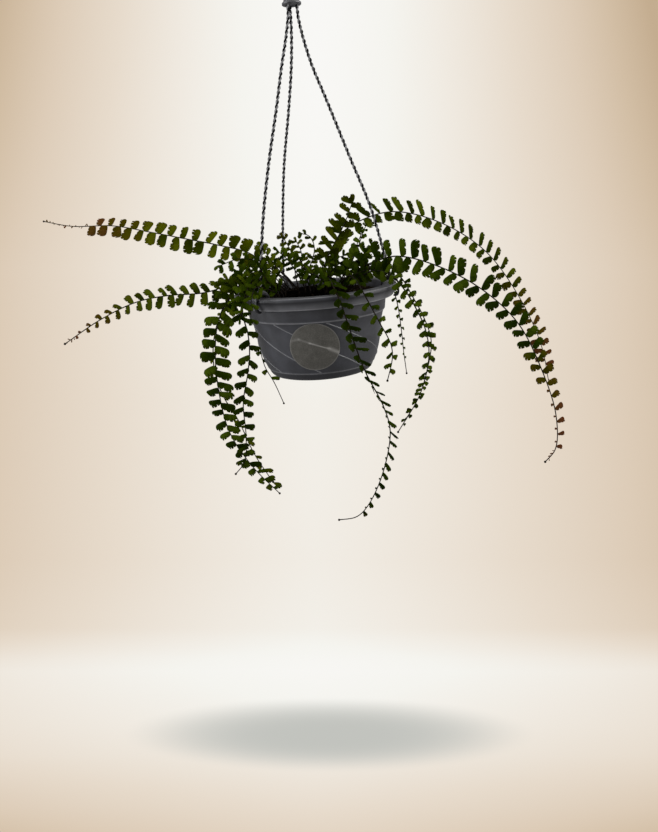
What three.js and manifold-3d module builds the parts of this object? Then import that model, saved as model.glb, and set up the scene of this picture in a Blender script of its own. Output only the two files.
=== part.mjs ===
// A hanging plastic pot of maidenhair fern: pot, soil, label, three clips, three ropes, a hanger and fronds.
// Millimetres, +Z up. The origin is the point under the hook's arch where the whole thing hangs.
import * as THREE from 'three';
import { mergeVertices } from 'three/addons/utils/BufferGeometryUtils.js';
import Module from 'manifold-3d';

const wasm = await Module();
wasm.setup();

// ---- driving dimensions ----
const rimZ = -402;              // top face of the pot's rim, below the hanging point
const rimRadius = 100;          // widest point of the rim: a 200 mm pot
const potHeight = 102;
const ribCount = 8;
const ribLift = 0.6;
const ribSweep = 1.385;         // degrees that a rib turns for each mm it goes down
const ribStartAngle = -40;      // degrees from the front, at the band's lower edge
const ribTop = 31;              // depths below the rim between which the ribs run
const ribBottom = 92;
const touchGap = 0.3;           // air between pieces that touch
const soilTop = 9.5;            // depth of the soil's edge below the rim
const soilDome = 5;             // how far the soil rises towards the middle
const labelAngle = -4.7;        // degrees from the front
const labelDepth = 59.4;
const labelRadius = 29;
const labelThickness = 0.6;
const ropeDiameter = 4.2;
const ropeSteps = 18;
const ropeSides = 8;
const capBottom = -66.5;        // underside of the hanger's cap
const capRadius = 11.5;
const hookRadius = 16;          // centre line of the hook's arch
const hookThickness = 6;
const bladeThickness = 0.7;
const leafletWidthRatio = 0.52;
const leafletBase = 2.6;        // width of a leaflet where it joins the rib
const stemHole = 1.9;           // radius of the plain hole each stem stands in
const stemDepth = 9;            // how far a stem goes down into the soil, below the soil's edge
const stemRise = 4;             // how far it stands straight up from the middle of the soil
const uprightLength = stemDepth + soilDome + stemRise;

const degrees = Math.PI / 180;

// Clips grip the rim at these angles, seen from above, counted from +X towards +Y.
const clipAngles = { right: -11, back: 116.5, left: 228 };

// Half profile of the pot as [radius, depth below the rim]: the base, the body with its ribs, the two bands
// and the hollow rim, then the inside down to the floor.
const baseProfile = [[54, 100], [56.5, potHeight], [60.5, potHeight], [63.2, 99], [65.4, 93.2]];
const bodyProfile = [
  [66.6, ribBottom], [69.4, 86.5], [71.6, 80], [73.4, 74], [74.8, 68], [75.8, 62], [76.8, 56], [77.6, 50],
  [78.6, 43.5], [80.2, 37], [82.2, ribTop],
];
const rimProfile = [
  [83.6, 29.6], [86, 13.6], [89.6, 3.2], [96.4, 3.8], [92.4, 13.4], [94.2, 13.4], [rimRadius, 4.6], [98.2, 0],
];
const insideProfile = [[84.6, 0], [80.4, 31], [75, 56], [70.6, 78], [63, 98.2]];
const undersideDepth = 100;
const floorDepth = 98.2;

// ---- small geometry helpers ----
function geometryFrom(vertices, triangles) {
  const geometry = new THREE.BufferGeometry();
  geometry.setAttribute('position', new THREE.Float32BufferAttribute(vertices.flat(), 3));
  geometry.setIndex(triangles.flat());
  geometry.computeVertexNormals();
  return geometry;
}

function toManifold(geometry) {
  const bare = geometry.clone();
  bare.deleteAttribute('normal');
  bare.deleteAttribute('uv');
  const merged = mergeVertices(bare, 1e-4);
  return new wasm.Manifold(new wasm.Mesh({
    numProp: 3,
    vertProperties: new Float32Array(merged.attributes.position.array),
    triVerts: new Uint32Array(merged.index.array),
  }));
}

function fromManifold(solid) {
  const mesh = solid.getMesh();
  const geometry = new THREE.BufferGeometry();
  geometry.setAttribute('position', new THREE.BufferAttribute(new Float32Array(mesh.vertProperties), 3));
  geometry.setIndex(new THREE.BufferAttribute(new Uint32Array(mesh.triVerts), 1));
  geometry.computeVertexNormals();
  return geometry;
}

// Rings of points between two poles: every ring has the same number of columns, the poles close the ends.
function closedRings(firstPole, rings, lastPole) {
  const columns = rings[0].length;
  const vertices = [firstPole, ...rings.flat(), lastPole];
  const last = vertices.length - 1;
  const triangles = [];
  for (let c = 0; c < columns; c++) {
    const next = (c + 1) % columns;
    triangles.push([0, 1 + next, 1 + c]);
    for (let r = 0; r < rings.length - 1; r++) {
      const a = 1 + r * columns;
      const b = a + columns;
      triangles.push([a + c, a + next, b + next], [a + c, b + next, b + c]);
    }
    const top = 1 + (rings.length - 1) * columns;
    triangles.push([top + c, top + next, last]);
  }
  return geometryFrom(vertices, triangles);
}

function seededRandom(seed) {
  let state = seed;
  return () => {
    state = (state + 0x6d2b79f5) | 0;
    let t = Math.imul(state ^ (state >>> 15), 1 | state);
    t = (t + Math.imul(t ^ (t >>> 7), 61 | t)) ^ t;
    return ((t ^ (t >>> 14)) >>> 0) / 4294967296;
  };
}

const polar = (angle, radius, z) => new THREE.Vector3(
  radius * Math.cos(angle * degrees), radius * Math.sin(angle * degrees), z);

// ---- pot ----
// Columns turn with the ribs on the way down, so each rib is one raised column of an otherwise round wall.
function buildPot() {
  const spacing = 360 / ribCount;
  const columnOffsets = [-1, 0, 1, 15, 30];
  const columns = [];
  for (let rib = 0; rib < ribCount; rib++) {
    for (const offset of columnOffsets) {
      columns.push({ angle: -90 + ribStartAngle + rib * spacing + offset, crest: offset === 0 });
    }
  }
  const ring = ([radius, depth], turn, lift) => columns.map(({ angle, crest }) => {
    return polar(angle + turn, radius + (crest ? lift : 0), rimZ - depth).toArray();
  });
  const fullTurn = ribSweep * (ribBottom - ribTop);
  const rings = [
    ...baseProfile.map((row) => ring(row, fullTurn, 0)),
    ...bodyProfile.map((row, i) => {
      const inside = i > 0 && i < bodyProfile.length - 1;
      return ring(row, ribSweep * (row[1] - ribTop), inside ? ribLift : 0);
    }),
    ...rimProfile.map((row) => ring(row, 0, 0)),
    ...insideProfile.map((row) => ring(row, 0, 0)),
  ];
  const shell = closedRings([0, 0, rimZ - undersideDepth], rings, [0, 0, rimZ - floorDepth]);
  let solid = toManifold(shell);
  const drainCount = 8;
  for (let i = 0; i < drainCount; i++) {
    const drain = new THREE.CylinderGeometry(1.8, 1.8, 8, 8);
    drain.rotateX(Math.PI / 2);
    const place = polar(i * 360 / drainCount, 42, rimZ - 99);
    drain.translate(place.x, place.y, place.z);
    solid = solid.subtract(toManifold(drain));
  }
  return fromManifold(solid);
}

// Outside radius of the plain wall at a depth below the rim.
function wallRadius(depth) {
  const outside = [...bodyProfile, ...rimProfile.slice(0, 2)];
  for (let i = 0; i < outside.length - 1; i++) {
    const [lowRadius, lowDepth] = outside[i];
    const [highRadius, highDepth] = outside[i + 1];
    if (depth <= lowDepth && depth >= highDepth) {
      const share = (lowDepth - depth) / (lowDepth - highDepth);
      return lowRadius + share * (highRadius - lowRadius);
    }
  }
  return outside[0][0];
}

// True for a point in the pot or its soil, or less than a leaf's room from them.
function meetsPot(point) {
  const room = 2.5;
  const depth = rimZ - point.z;
  const radius = Math.hypot(point.x, point.y);
  if (depth < -room || depth > potHeight + room || radius > rimRadius + room) return false;
  if (depth > ribTop && radius > wallRadius(depth) + room) return false;
  return radius > 78 || depth > soilTop - soilDome - room;
}

// ---- label: a round sticker bent to the wall, lying over the ribs ----
function buildLabel() {
  const sectors = 24;
  const ringShares = [0.5, 1];
  const inside = ribLift + touchGap + 0.2;
  const point = (share, sector, offset) => {
    const turn = 2 * Math.PI * sector / sectors;
    const across = labelRadius * share * Math.cos(turn);
    const up = labelRadius * share * Math.sin(turn) * 0.973;
    const depth = labelDepth - up;
    const radius = wallRadius(depth) + offset;
    return polar(-90 + labelAngle + across / radius / degrees, radius, rimZ - depth).toArray();
  };
  const sheet = (offset) => ringShares.map((share) => {
    return Array.from({ length: sectors }, (_, sector) => point(share, sector, offset));
  });
  const back = sheet(inside);
  const front = sheet(inside + labelThickness).reverse();
  return closedRings(point(0, 0, inside), [...back, ...front], point(0, 0, inside + labelThickness));
}

// ---- soil: fills the pot to just under its rim, with a plain hole for every stem ----
function buildSoil(stemPlaces) {
  const random = seededRandom(7);
  const columns = 26;
  const clearance = touchGap + 0.35;
  const sides = [[62.6, 97.6], [70.3, 78], [74.8, 56], [80.2, 31], [83.2, soilTop]];
  const topShares = [0.8, 0.54, 0.28];
  const ring = (radius, depth, roughness) => Array.from({ length: columns }, (_, c) => {
    const bump = roughness * (random() - 0.5);
    return polar(c * 360 / columns, radius, rimZ - depth + bump).toArray();
  });
  const rings = sides.map(([radius, depth]) => ring(radius - clearance, depth, 0));
  for (const share of topShares) {
    const depth = soilTop - soilDome * (1 - share * share);
    rings.push(ring(share * 83, depth, 2.2));
  }
  const lump = closedRings([0, 0, rimZ - sides[0][1]], rings, [0, 0, rimZ - soilTop + soilDome]);
  let solid = toManifold(lump);
  for (const [x, y] of stemPlaces) {
    const hole = new THREE.CylinderGeometry(stemHole, stemHole, 40, 6);
    hole.rotateX(Math.PI / 2);
    hole.translate(x, y, rimZ - soilTop - stemDepth - 1 + 20);
    solid = solid.subtract(toManifold(hole));
  }
  return fromManifold(solid);
}

// ---- clip: an arch over the rim, its outer leg ending in a claw under the lip ----
const clipOutline = [
  [82.6, -7.4], [80.4, -7.4], [81.4, 1.8], [84.2, 5.8], [88.6, 8.6], [92.6, 9.6], [97, 8.3], [100.6, 4.8],
  [102.4, 0.4], [102.7, -12], [100.4, -16.4], [95.2, -16.6], [95.2, -14.2], [98.4, -13.4], [100.6, -9.4],
  [100.7, 0.4], [97.4, 2.8], [92.4, 3.8], [87, 2.8], [83.7, 0.8],
];
const clipWidth = 4.4;

function buildClip() {
  const shape = new THREE.Shape(clipOutline.map(([radius, height]) => new THREE.Vector2(radius, height)));
  const geometry = new THREE.ExtrudeGeometry(shape, { depth: clipWidth, bevelEnabled: false });
  geometry.translate(0, 0, -clipWidth / 2);
  geometry.rotateX(Math.PI / 2);
  return geometry;
}

// ---- hanger: one moulding, a flanged cap that holds the ropes with a hook rising from it ----
function buildHanger() {
  const cap = new THREE.LatheGeometry([
    new THREE.Vector2(0, capBottom), new THREE.Vector2(capRadius, capBottom),
    new THREE.Vector2(capRadius, capBottom + 2.6), new THREE.Vector2(capRadius - 1.8, capBottom + 3.2),
    new THREE.Vector2(6.4, capBottom + 17), new THREE.Vector2(4.6, capBottom + 20),
    new THREE.Vector2(0, capBottom + 20),
  ], 16);
  cap.rotateX(Math.PI / 2);
  const arch = [0, 30, 60, 90, 120, 150, 180, 205].map((turn) => new THREE.Vector3(
    hookRadius * Math.cos(turn * degrees), 0, hookRadius * Math.sin(turn * degrees) - hookRadius + 3));
  const shank = [[0, capBottom + 16], [0, capBottom + 22], [3, capBottom + 30], [12, capBottom + 40]];
  const path = new THREE.CatmullRomCurve3([
    ...shank.map(([x, z]) => new THREE.Vector3(x, 0, z)), ...arch,
  ]);
  const section = regularPolygon(8, hookThickness / 2);
  const hook = new THREE.ExtrudeGeometry(section, { steps: 26, extrudePath: path, bevelEnabled: false });
  return fromManifold(toManifold(cap).add(toManifold(hook)));
}

function regularPolygon(sides, radius) {
  return new THREE.Shape(Array.from({ length: sides }, (_, i) => {
    const turn = 2 * Math.PI * (i + 0.5) / sides;
    return new THREE.Vector2(radius * Math.cos(turn), radius * Math.sin(turn));
  }));
}

// ---- ropes: each leaves the cap straight down, then leans out in its own upright plane to its clip ----
// Points are [distance from the middle, height].
const ropeRoutes = {
  right: [[6.2, -67.2], [6.6, -80], [8.3, -93], [12.2, -113], [19.1, -140], [31, -175], [54.7, -247.5],
    [75.7, -311], [92.4, -391.1]],
  back: [[4.6, -67.2], [5, -80], [7.6, -103], [15.4, -136.6], [30.9, -179], [61.2, -252], [84, -342],
    [92.4, -391.1]],
  left: [[6.4, -67.2], [7.6, -80], [14, -104], [27, -142.6], [40.4, -186.7], [63, -256.5], [79.4, -318],
    [92.4, -391.1]],
};

function buildRope(side) {
  const path = new THREE.CatmullRomCurve3(
    ropeRoutes[side].map(([distance, z]) => polar(clipAngles[side], distance, z)));
  const section = regularPolygon(ropeSides, ropeDiameter / 2);
  return new THREE.ExtrudeGeometry(section, { steps: ropeSteps, extrudePath: path, bevelEnabled: false });
}

// ---- fronds ----
// root: where the stem leaves the soil. route: points that the rib passes, to the bud at its tip.
// leafFrom, leafTo: distance along the rib from the root to the first pair of leaflets, and from the last
// pair to the tip. pairs: how many. sizes: leaflet length at the first, the middle and the last pair.
// face: the way the blade looks, and twist: how many degrees it has turned about the rib from there, at the
// root, halfway and at the tip. lean: degrees that leaflets lean towards the tip, where it isn't the usual
// lean. uneven: share by which leaflets are longer on the rib's left and shorter on its right.
const usualLean = 14;
const fronds = {
  frond_left_upper: {
    root: [-34, 22], face: [0.1, -1, 0.5], twist: [-7, 0, 7], lean: -8,
    leafFrom: 62, leafTo: 68, pairs: 14, sizes: [18, 18.5, 12],
    route: [[-44, 20, -386], [-57, 19, -373], [-79, 24, -355], [-119, 36, -342], [-158, 48, -332],
      [-209, 62, -319], [-260, 76, -307], [-319, 90, -303], [-361, 100, -293]],
  },
  frond_left_lower: {
    root: [-40, 4], face: [0.1, -1, 0.55], twist: [8, 0, -8],
    leafFrom: 66, leafTo: 20, pairs: 15, sizes: [16, 16, 4],
    route: [[-50, 2, -394], [-66, -6, -388], [-96, -18, -388], [-132, -32, -394], [-172, -48, -392],
      [-205, -62, -395], [-242, -80, -409], [-280, -98, -431]],
  },
  frond_left_hanging: {
    root: [-36, -12], face: [-0.3, -1, 0.2], twist: [-15, 0, 15],
    leafFrom: 74, leafTo: 16, pairs: 18, sizes: [20, 20, 11],
    route: [[-44, -15, -393], [-62, -24, -385], [-86, -34, -388], [-104, -46, -404], [-117, -50, -431],
      [-123, -50, -465], [-124, -44, -514], [-117, -36, -566], [-94, -30, -613], [-64, -24, -653]],
  },
  frond_left_inner: {
    root: [-36, -30], face: [0.3, -1, 0], twist: [18, 0, -18],
    leafFrom: 62, leafTo: 22, pairs: 14, sizes: [13, 14, 9],
    route: [[-44, -36, -394], [-58, -46, -388], [-74, -57, -391], [-83, -65, -404], [-84, -71, -420],
      [-80, -76, -440], [-80, -78, -462], [-84, -78, -484], [-93, -74, -520], [-94, -70, -560],
      [-99, -66, -592], [-112, -64, -608]],
  },
  frond_left_thin: {
    root: [-46, 14], face: [-0.4, -1, 0], twist: [-20, 0, 20],
    leafFrom: 96, leafTo: 6, pairs: 10, sizes: [5, 6, 10],
    route: [[-56, 14, -394], [-75, 14, -389], [-95, 12, -394], [-109, 10, -411], [-127, 4, -443],
      [-134, 0, -485], [-127, -4, -524], [-109, -8, -560], [-93, -10, -604], [-72, -12, -643]],
  },
  frond_left_back: {
    root: [-28, 34], face: [-0.4, -1, 0], twist: [-12, 0, 12],
    leafFrom: 110, leafTo: 48, pairs: 5, sizes: [9, 9, 7],
    route: [[-36, 42, -394], [-52, 60, -386], [-68, 74, -392], [-81, 81, -412], [-84, 80, -445],
      [-82, 75, -478], [-77, 74, -512], [-66, 73, -536], [-55, 72, -567]],
  },
  frond_right_upper: {
    root: [18, 20], face: [0, -1, 0.5], twist: [-10, 0, 10], lean: -20, uneven: 0.2,
    leafFrom: 60, leafTo: 34, pairs: 25, sizes: [17, 18, 9],
    route: [[19, 28, -392], [22, 39, -372], [33, 54, -348], [57, 66, -331], [110, 84, -319],
      [177, 102, -339], [241, 116, -385], [288, 124, -456], [316, 126, -527], [325, 126, -586]],
  },
  frond_right_lower: {
    root: [36, -6], face: [-0.1, -1, 0.5], twist: [10, 0, -10], lean: -22, uneven: 0.14,
    leafFrom: 46, leafTo: 26, pairs: 26, sizes: [21, 19.5, 4],
    route: [[44, -14, -394], [56, -24, -381], [76, -32, -373], [98, -40, -369], [136, -56, -380],
      [184, -74, -409], [221, -90, -450], [243, -102, -507], [253, -108, -554], [250, -110, -591],
      [237, -110, -606]],
  },
  frond_front_long: {
    root: [12, -34], face: [0.15, -1, 0], twist: [-40, 70, 0],
    leafFrom: 50, leafTo: 38, pairs: 19, sizes: [12, 10, 7],
    route: [[13, -46, -393], [16, -68, -386], [20, -92, -392], [27, -108, -412], [33, -109, -436],
      [39, -106, -460], [48, -102, -490], [65, -96, -531], [71, -90, -562], [60, -82, -613],
      [40, -76, -654], [26, -74, -667], [4, -70, -671]],
  },
  frond_front_short: {
    root: [28, -28], face: [0.4, -1, 0], twist: [12, 0, -12],
    leafFrom: 62, leafTo: 20, pairs: 8, sizes: [8, 8, 10],
    route: [[33, -40, -393], [40, -62, -385], [46, -88, -389], [55, -101, -408], [67, -102, -435],
      [78, -97, -461], [79, -92, -478], [72, -86, -506]],
  },
  frond_right_thin: {
    root: [46, 26], face: [0.5, -1, 0], twist: [20, 0, -20],
    leafFrom: 60, leafTo: 10, pairs: 10, sizes: [6, 5, 3],
    route: [[56, 34, -393], [72, 46, -387], [90, 58, -395], [102, 68, -416], [109, 77, -445],
      [112, 80, -480], [113, 79, -510], [115, 78, -541]],
  },
  frond_right_hanging: {
    root: [44, -20], face: [0.5, -1, 0], twist: [17, 0, -17],
    leafFrom: 56, leafTo: 18, pairs: 14, sizes: [12, 10, 7],
    route: [[54, -26, -392], [70, -37, -384], [88, -49, -389], [101, -57, -405], [112, -62, -426],
      [122, -66, -454], [124, -66, -484], [112, -60, -530], [83, -52, -578]],
  },
  frond_right_inner: {
    root: [50, 6], face: [0.3, -1, 0], twist: [15, 0, -15],
    leafFrom: 62, leafTo: 12, pairs: 12, sizes: [8, 10, 8],
    route: [[60, 8, -393], [76, 8, -384], [94, 8, -386], [109, 9, -402], [120, 11, -424],
      [132, 13, -450], [141, 16, -482], [137, 16, -510], [119, 14, -558], [101, 12, -583]],
  },
  frond_centre_upright: {
    root: [6, 8], face: [0.1, -1, 0.1], twist: [-7, 0, 7],
    leafFrom: 52, leafTo: 2, pairs: 6, sizes: [20, 22, 18],
    route: [[10, 12, -390], [17, 13, -370], [28, 10, -351], [37, 6, -337], [46, 2, -320], [53, -2, -303]],
  },
  sprout_upright: {
    root: [-12, 24], face: [0, -1, 0.4], twist: [-5, 0, 5],
    leafFrom: 38, leafTo: 2, pairs: 5, sizes: [7, 7, 5],
    route: [[-8, 25, -385], [-1, 27, -371], [3, 27, -358], [2, 26, -347], [-3, 24, -339], [-11, 22, -336]],
  },
  crown_left: {
    root: [-24, 8], face: [0, -1, 0.7], twist: [-5, 0, 5],
    leafFrom: 30, leafTo: 4, pairs: 5, sizes: [14, 17, 14],
    route: [[-33, 8, -388], [-49, 9, -374], [-69, 8, -364], [-92, 6, -360], [-114, 3, -366]],
  },
  crown_right: {
    root: [10, -8], face: [0, -1, 0.8], twist: [5, 0, -5],
    leafFrom: 26, leafTo: 4, pairs: 5, sizes: [13, 15, 13],
    route: [[16, -6, -391], [28, -2, -378], [46, 0, -369], [66, 0, -368], [84, 0, -374]],
  },
  crown_front: {
    root: [-20, -22], face: [0.2, -1, 0.4], twist: [-6, 0, 6],
    leafFrom: 26, leafTo: 3, pairs: 5, sizes: [12, 14, 12],
    route: [[-28, -30, -390], [-40, -38, -375], [-50, -42, -359], [-58, -42, -344]],
  },
  crown_olive: {
    root: [-22, 40], face: [0, -1, 0.4], twist: [-6, 0, 6],
    leafFrom: 32, leafTo: 3, pairs: 5, sizes: [9, 10, 8],
    route: [[-24, 42, -390], [-24, 44, -372], [-28, 42, -356], [-36, 40, -338]],
  },
  sprout_pale: {
    root: [34, 22], face: [0.3, -1, 0], twist: [-6, 0, 6],
    leafFrom: 36, leafTo: 2, pairs: 5, sizes: [9, 11, 8],
    route: [[42, 26, -388], [52, 30, -372], [60, 32, -356], [66, 33, -342]],
  },
  frond_back_left: {
    root: [-6, 42], face: [-0.2, 1, 0.3], twist: [-12, 0, 12],
    leafFrom: 34, leafTo: 12, pairs: 6, sizes: [13, 14, 8],
    route: [[-8, 56, -389], [-12, 84, -380], [-16, 108, -390], [-17, 123, -418], [-15, 125, -450],
      [-12, 120, -492]],
  },
  frond_back_middle: {
    root: [14, 46], face: [0.1, 1, 0.3], twist: [10, 0, -10],
    leafFrom: 34, leafTo: 12, pairs: 6, sizes: [13, 14, 8],
    route: [[18, 58, -389], [24, 82, -380], [29, 104, -388], [32, 119, -414], [31, 122, -446],
      [27, 118, -486]],
  },
  frond_back_right: {
    root: [34, 44], face: [0.6, 1, 0.3], twist: [-10, 0, 10],
    leafFrom: 34, leafTo: 12, pairs: 6, sizes: [13, 13, 8],
    route: [[42, 54, -389], [56, 76, -381], [70, 95, -390], [78, 106, -416], [79, 108, -448],
      [74, 103, -488]],
  },
};

// Outline of a leaflet: along its own length and across it, the base left out. The side towards the frond's
// tip is cut into two lobes.
const leafletOutline = [[0.97, -0.2], [0.9, 0.56], [0.62, 0.34], [0.42, 0.46]];
const leafletTriangles = [[1, 2, 3], [0, 1, 3], [0, 3, 4], [0, 4, 5]];
const smallOutline = [[0.95, -0.3], [0.92, 0.62], [0.45, 0.5]];
const smallTriangles = [[1, 2, 3], [0, 1, 3], [0, 3, 4]];
const smallLeaflet = 9.5;       // leaflets shorter than this have the plainer outline

function valueAlong([first, middle, last], share) {
  return share < 0.5 ? first + (middle - first) * share * 2 : middle + (last - middle) * (share * 2 - 1);
}

// Stations along the rib: bare stem, two for each pair of leaflets, bare tail and a small bud.
function frondStations(frond, length) {
  const step = 20;
  const stations = [];
  const lastPair = length - frond.leafTo;
  const pitch = (lastPair - frond.leafFrom) / (frond.pairs - 1);
  const bareLength = frond.leafFrom - leafletBase - uprightLength;
  const bareSteps = Math.max(1, Math.round(bareLength / step));
  stations.push({ at: 0 });
  for (let i = 0; i < bareSteps; i++) {
    stations.push({ at: uprightLength + bareLength * i / bareSteps });
  }
  for (let i = 0; i < frond.pairs; i++) {
    const middle = frond.leafFrom + i * pitch;
    const size = valueAlong(frond.sizes, i / (frond.pairs - 1));
    stations.push({ at: middle - leafletBase / 2, leaf: { middle, size, pitch } });
    stations.push({ at: middle + leafletBase / 2 });
  }
  const tailFrom = lastPair + leafletBase / 2;
  const budAt = length - 2.4;
  const tailSteps = Math.floor((budAt - tailFrom) / step) + 1;
  for (let i = 1; i <= tailSteps; i++) {
    const at = tailFrom + (budAt - tailFrom) * i / tailSteps;
    if (at > tailFrom + 1) stations.push({ at });
  }
  if (frond.leafTo > 5) stations.push({ at: length - 1.2, bud: true });
  stations.push({ at: length });
  return stations;
}

function buildFrond(name, frond) {
  const random = seededRandom(name.length * 131 + frond.pairs * 17 + frond.route.length);
  const soilZ = rimZ - soilTop + soilDome;
  const [rootX, rootY] = frond.root;
  const heights = [rimZ - soilTop - stemDepth, soilZ, soilZ + stemRise];
  const upright = heights.map((z) => new THREE.Vector3(rootX, rootY, z));
  const curve = new THREE.CatmullRomCurve3(
    [...upright, ...frond.route.map((p) => new THREE.Vector3(...p))], false, 'centripetal');
  curve.arcLengthDivisions = 600;
  const length = curve.getLength();
  const face = new THREE.Vector3(...frond.face).normalize();
  const vertices = [];
  const triangles = [];

  const frameAt = (distance) => {
    const share = Math.min(distance / length, 1);
    const centre = curve.getPointAt(share);
    const forward = curve.getTangentAt(share);
    const side = new THREE.Vector3().crossVectors(forward, face).normalize();
    side.applyAxisAngle(forward, valueAlong(frond.twist, share) * degrees);
    const up = new THREE.Vector3().crossVectors(side, forward);
    return { centre, forward, side, up, share };
  };
  const add = (point) => vertices.push(point.toArray()) - 1;
  const quad = (a, b, c, d) => triangles.push([a, b, c], [a, c, d]);

  const rows = frondStations(frond, length).map((station) => {
    const { centre, forward, side, up, share } = frameAt(station.at);
    const slim = station.bud ? 1.6 : 1;
    const halfWidth = (0.95 - 0.35 * share) * slim;
    const halfHeight = (0.75 - 0.25 * share) * slim;
    const corner = (x, z) => add(centre.clone()
      .addScaledVector(side, x * halfWidth).addScaledVector(up, z * halfHeight));
    return {
      ...station, centre, forward, side, up,
      leftTop: corner(-1, 1), rightTop: corner(1, 1), leftBottom: corner(-1, -1), rightBottom: corner(1, -1),
    };
  });

  // One leaflet between two rows, on the side given by sign (+1 right, -1 left of the rib). It is shorter
  // where it would reach into the pot.
  const leaflet = (row, next, sign, fullSize) => {
    const { centre, forward, side, up } = frameAt(row.leaf.middle);
    const lean = (sign * 2 + (frond.lean ?? usualLean) + 16 * (random() - 0.5)) * degrees;
    const tilt = 0.35 * (random() - 0.5);
    const droop = 0.1 + 0.12 * random();
    const out = side.clone().multiplyScalar(sign * Math.cos(lean)).addScaledVector(forward, Math.sin(lean));
    const across = forward.clone().multiplyScalar(Math.cos(lean))
      .addScaledVector(side, -sign * Math.sin(lean));
    const pointAt = ([x, y], size) => centre.clone()
      .addScaledVector(out, x * size)
      .addScaledVector(across, y * size * leafletWidthRatio)
      .addScaledVector(up, size * (y * leafletWidthRatio * tilt - droop * x * x));
    let size = fullSize;
    while (size > 3 && leafletOutline.some((spot) => meetsPot(pointAt(spot, size)))) size *= 0.85;
    const small = size < smallLeaflet;
    const outline = small ? smallOutline : leafletOutline;
    const top = [sign > 0 ? row.rightTop : row.leftTop];
    const bottom = [sign > 0 ? row.rightBottom : row.leftBottom];
    for (const spot of outline) {
      const point = pointAt(spot, size);
      top.push(add(point.clone().addScaledVector(up, bladeThickness / 2)));
      bottom.push(add(point.clone().addScaledVector(up, -bladeThickness / 2)));
    }
    top.push(sign > 0 ? next.rightTop : next.leftTop);
    bottom.push(sign > 0 ? next.rightBottom : next.leftBottom);
    const face3 = (a, b, c) => triangles.push(sign > 0 ? [a, b, c] : [a, c, b]);
    for (const [a, b, c] of small ? smallTriangles : leafletTriangles) {
      face3(top[a], top[b], top[c]);
      face3(bottom[a], bottom[c], bottom[b]);
    }
    for (let i = 0; i < top.length - 1; i++) {
      face3(top[i], bottom[i], bottom[i + 1]);
      face3(top[i], bottom[i + 1], top[i + 1]);
    }
  };

  const first = rows[0];
  quad(first.leftTop, first.leftBottom, first.rightBottom, first.rightTop);
  for (let i = 0; i < rows.length - 1; i++) {
    const row = rows[i];
    const next = rows[i + 1];
    quad(row.leftTop, row.rightTop, next.rightTop, next.leftTop);
    quad(row.leftBottom, next.leftBottom, next.rightBottom, row.rightBottom);
    if (row.leaf) {
      // On the inner side of a bend the leaflets are shorter, so that neighbours stay apart.
      const after = frameAt(row.leaf.middle + row.leaf.pitch / 2).forward;
      const before = frameAt(Math.max(row.leaf.middle - row.leaf.pitch / 2, 0)).forward;
      const bend = after.sub(before).dot(row.side) / row.leaf.pitch;
      for (const sign of [1, -1]) {
        const room = 1 - 0.75 * row.leaf.size * leafletWidthRatio / row.leaf.pitch;
        const limit = bend * sign > 1e-4 ? room / (bend * sign) : Infinity;
        const size = row.leaf.size * (1 - sign * (frond.uneven ?? 0)) * (0.93 + 0.14 * random());
        leaflet(row, next, sign, Math.min(size, limit));
      }
    } else {
      quad(row.rightTop, row.rightBottom, next.rightBottom, next.rightTop);
      quad(row.leftTop, next.leftTop, next.leftBottom, row.leftBottom);
    }
  }
  const last = rows[rows.length - 1];
  quad(last.leftTop, last.rightTop, last.rightBottom, last.leftBottom);
  return geometryFrom(vertices, triangles);
}

// ---- materials and assembly ----
const finish = (color, roughness, metalness = 0) => {
  return new THREE.MeshStandardMaterial({ color, roughness, metalness });
};
const potPlastic = finish(0x45464b, 0.6);
const hangerPlastic = finish(0x4c4d52, 0.5);
const ropeFibre = finish(0x4a4a4e, 0.75);
const labelPaper = finish(0x77746d, 0.35, 0.3);
const soilCrumb = finish(0x17120e, 0.95);
const greens = { dark: 0x25400f, mid: 0x34540f, olive: 0x4f5314, pale: 0x4c7a26 };
const frondColours = {
  frond_left_upper: greens.olive, frond_left_lower: greens.mid, frond_right_upper: greens.mid,
  frond_centre_upright: greens.olive, crown_olive: greens.olive, sprout_pale: greens.pale,
};

const group = new THREE.Group();

function place(name, geometry, material) {
  const mesh = new THREE.Mesh(geometry, material);
  mesh.name = name;
  group.add(mesh);
  return mesh;
}

place('pot', buildPot(), potPlastic);
place('label', buildLabel(), labelPaper);
place('soil', buildSoil(Object.values(fronds).map((frond) => frond.root)), soilCrumb);
place('hanger', buildHanger(), hangerPlastic);
for (const side of Object.keys(clipAngles)) {
  const clip = place(`clip_${side}`, buildClip(), hangerPlastic);
  clip.rotation.z = clipAngles[side] * degrees;
  clip.position.z = rimZ;
  place(`rope_${side}`, buildRope(side), ropeFibre);
}
for (const [name, frond] of Object.entries(fronds)) {
  place(name, buildFrond(name, frond), finish(frondColours[name] ?? greens.dark, 0.6));
}

export default group;
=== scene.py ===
import bpy
import math
import numpy as np
from mathutils import Matrix


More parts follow.
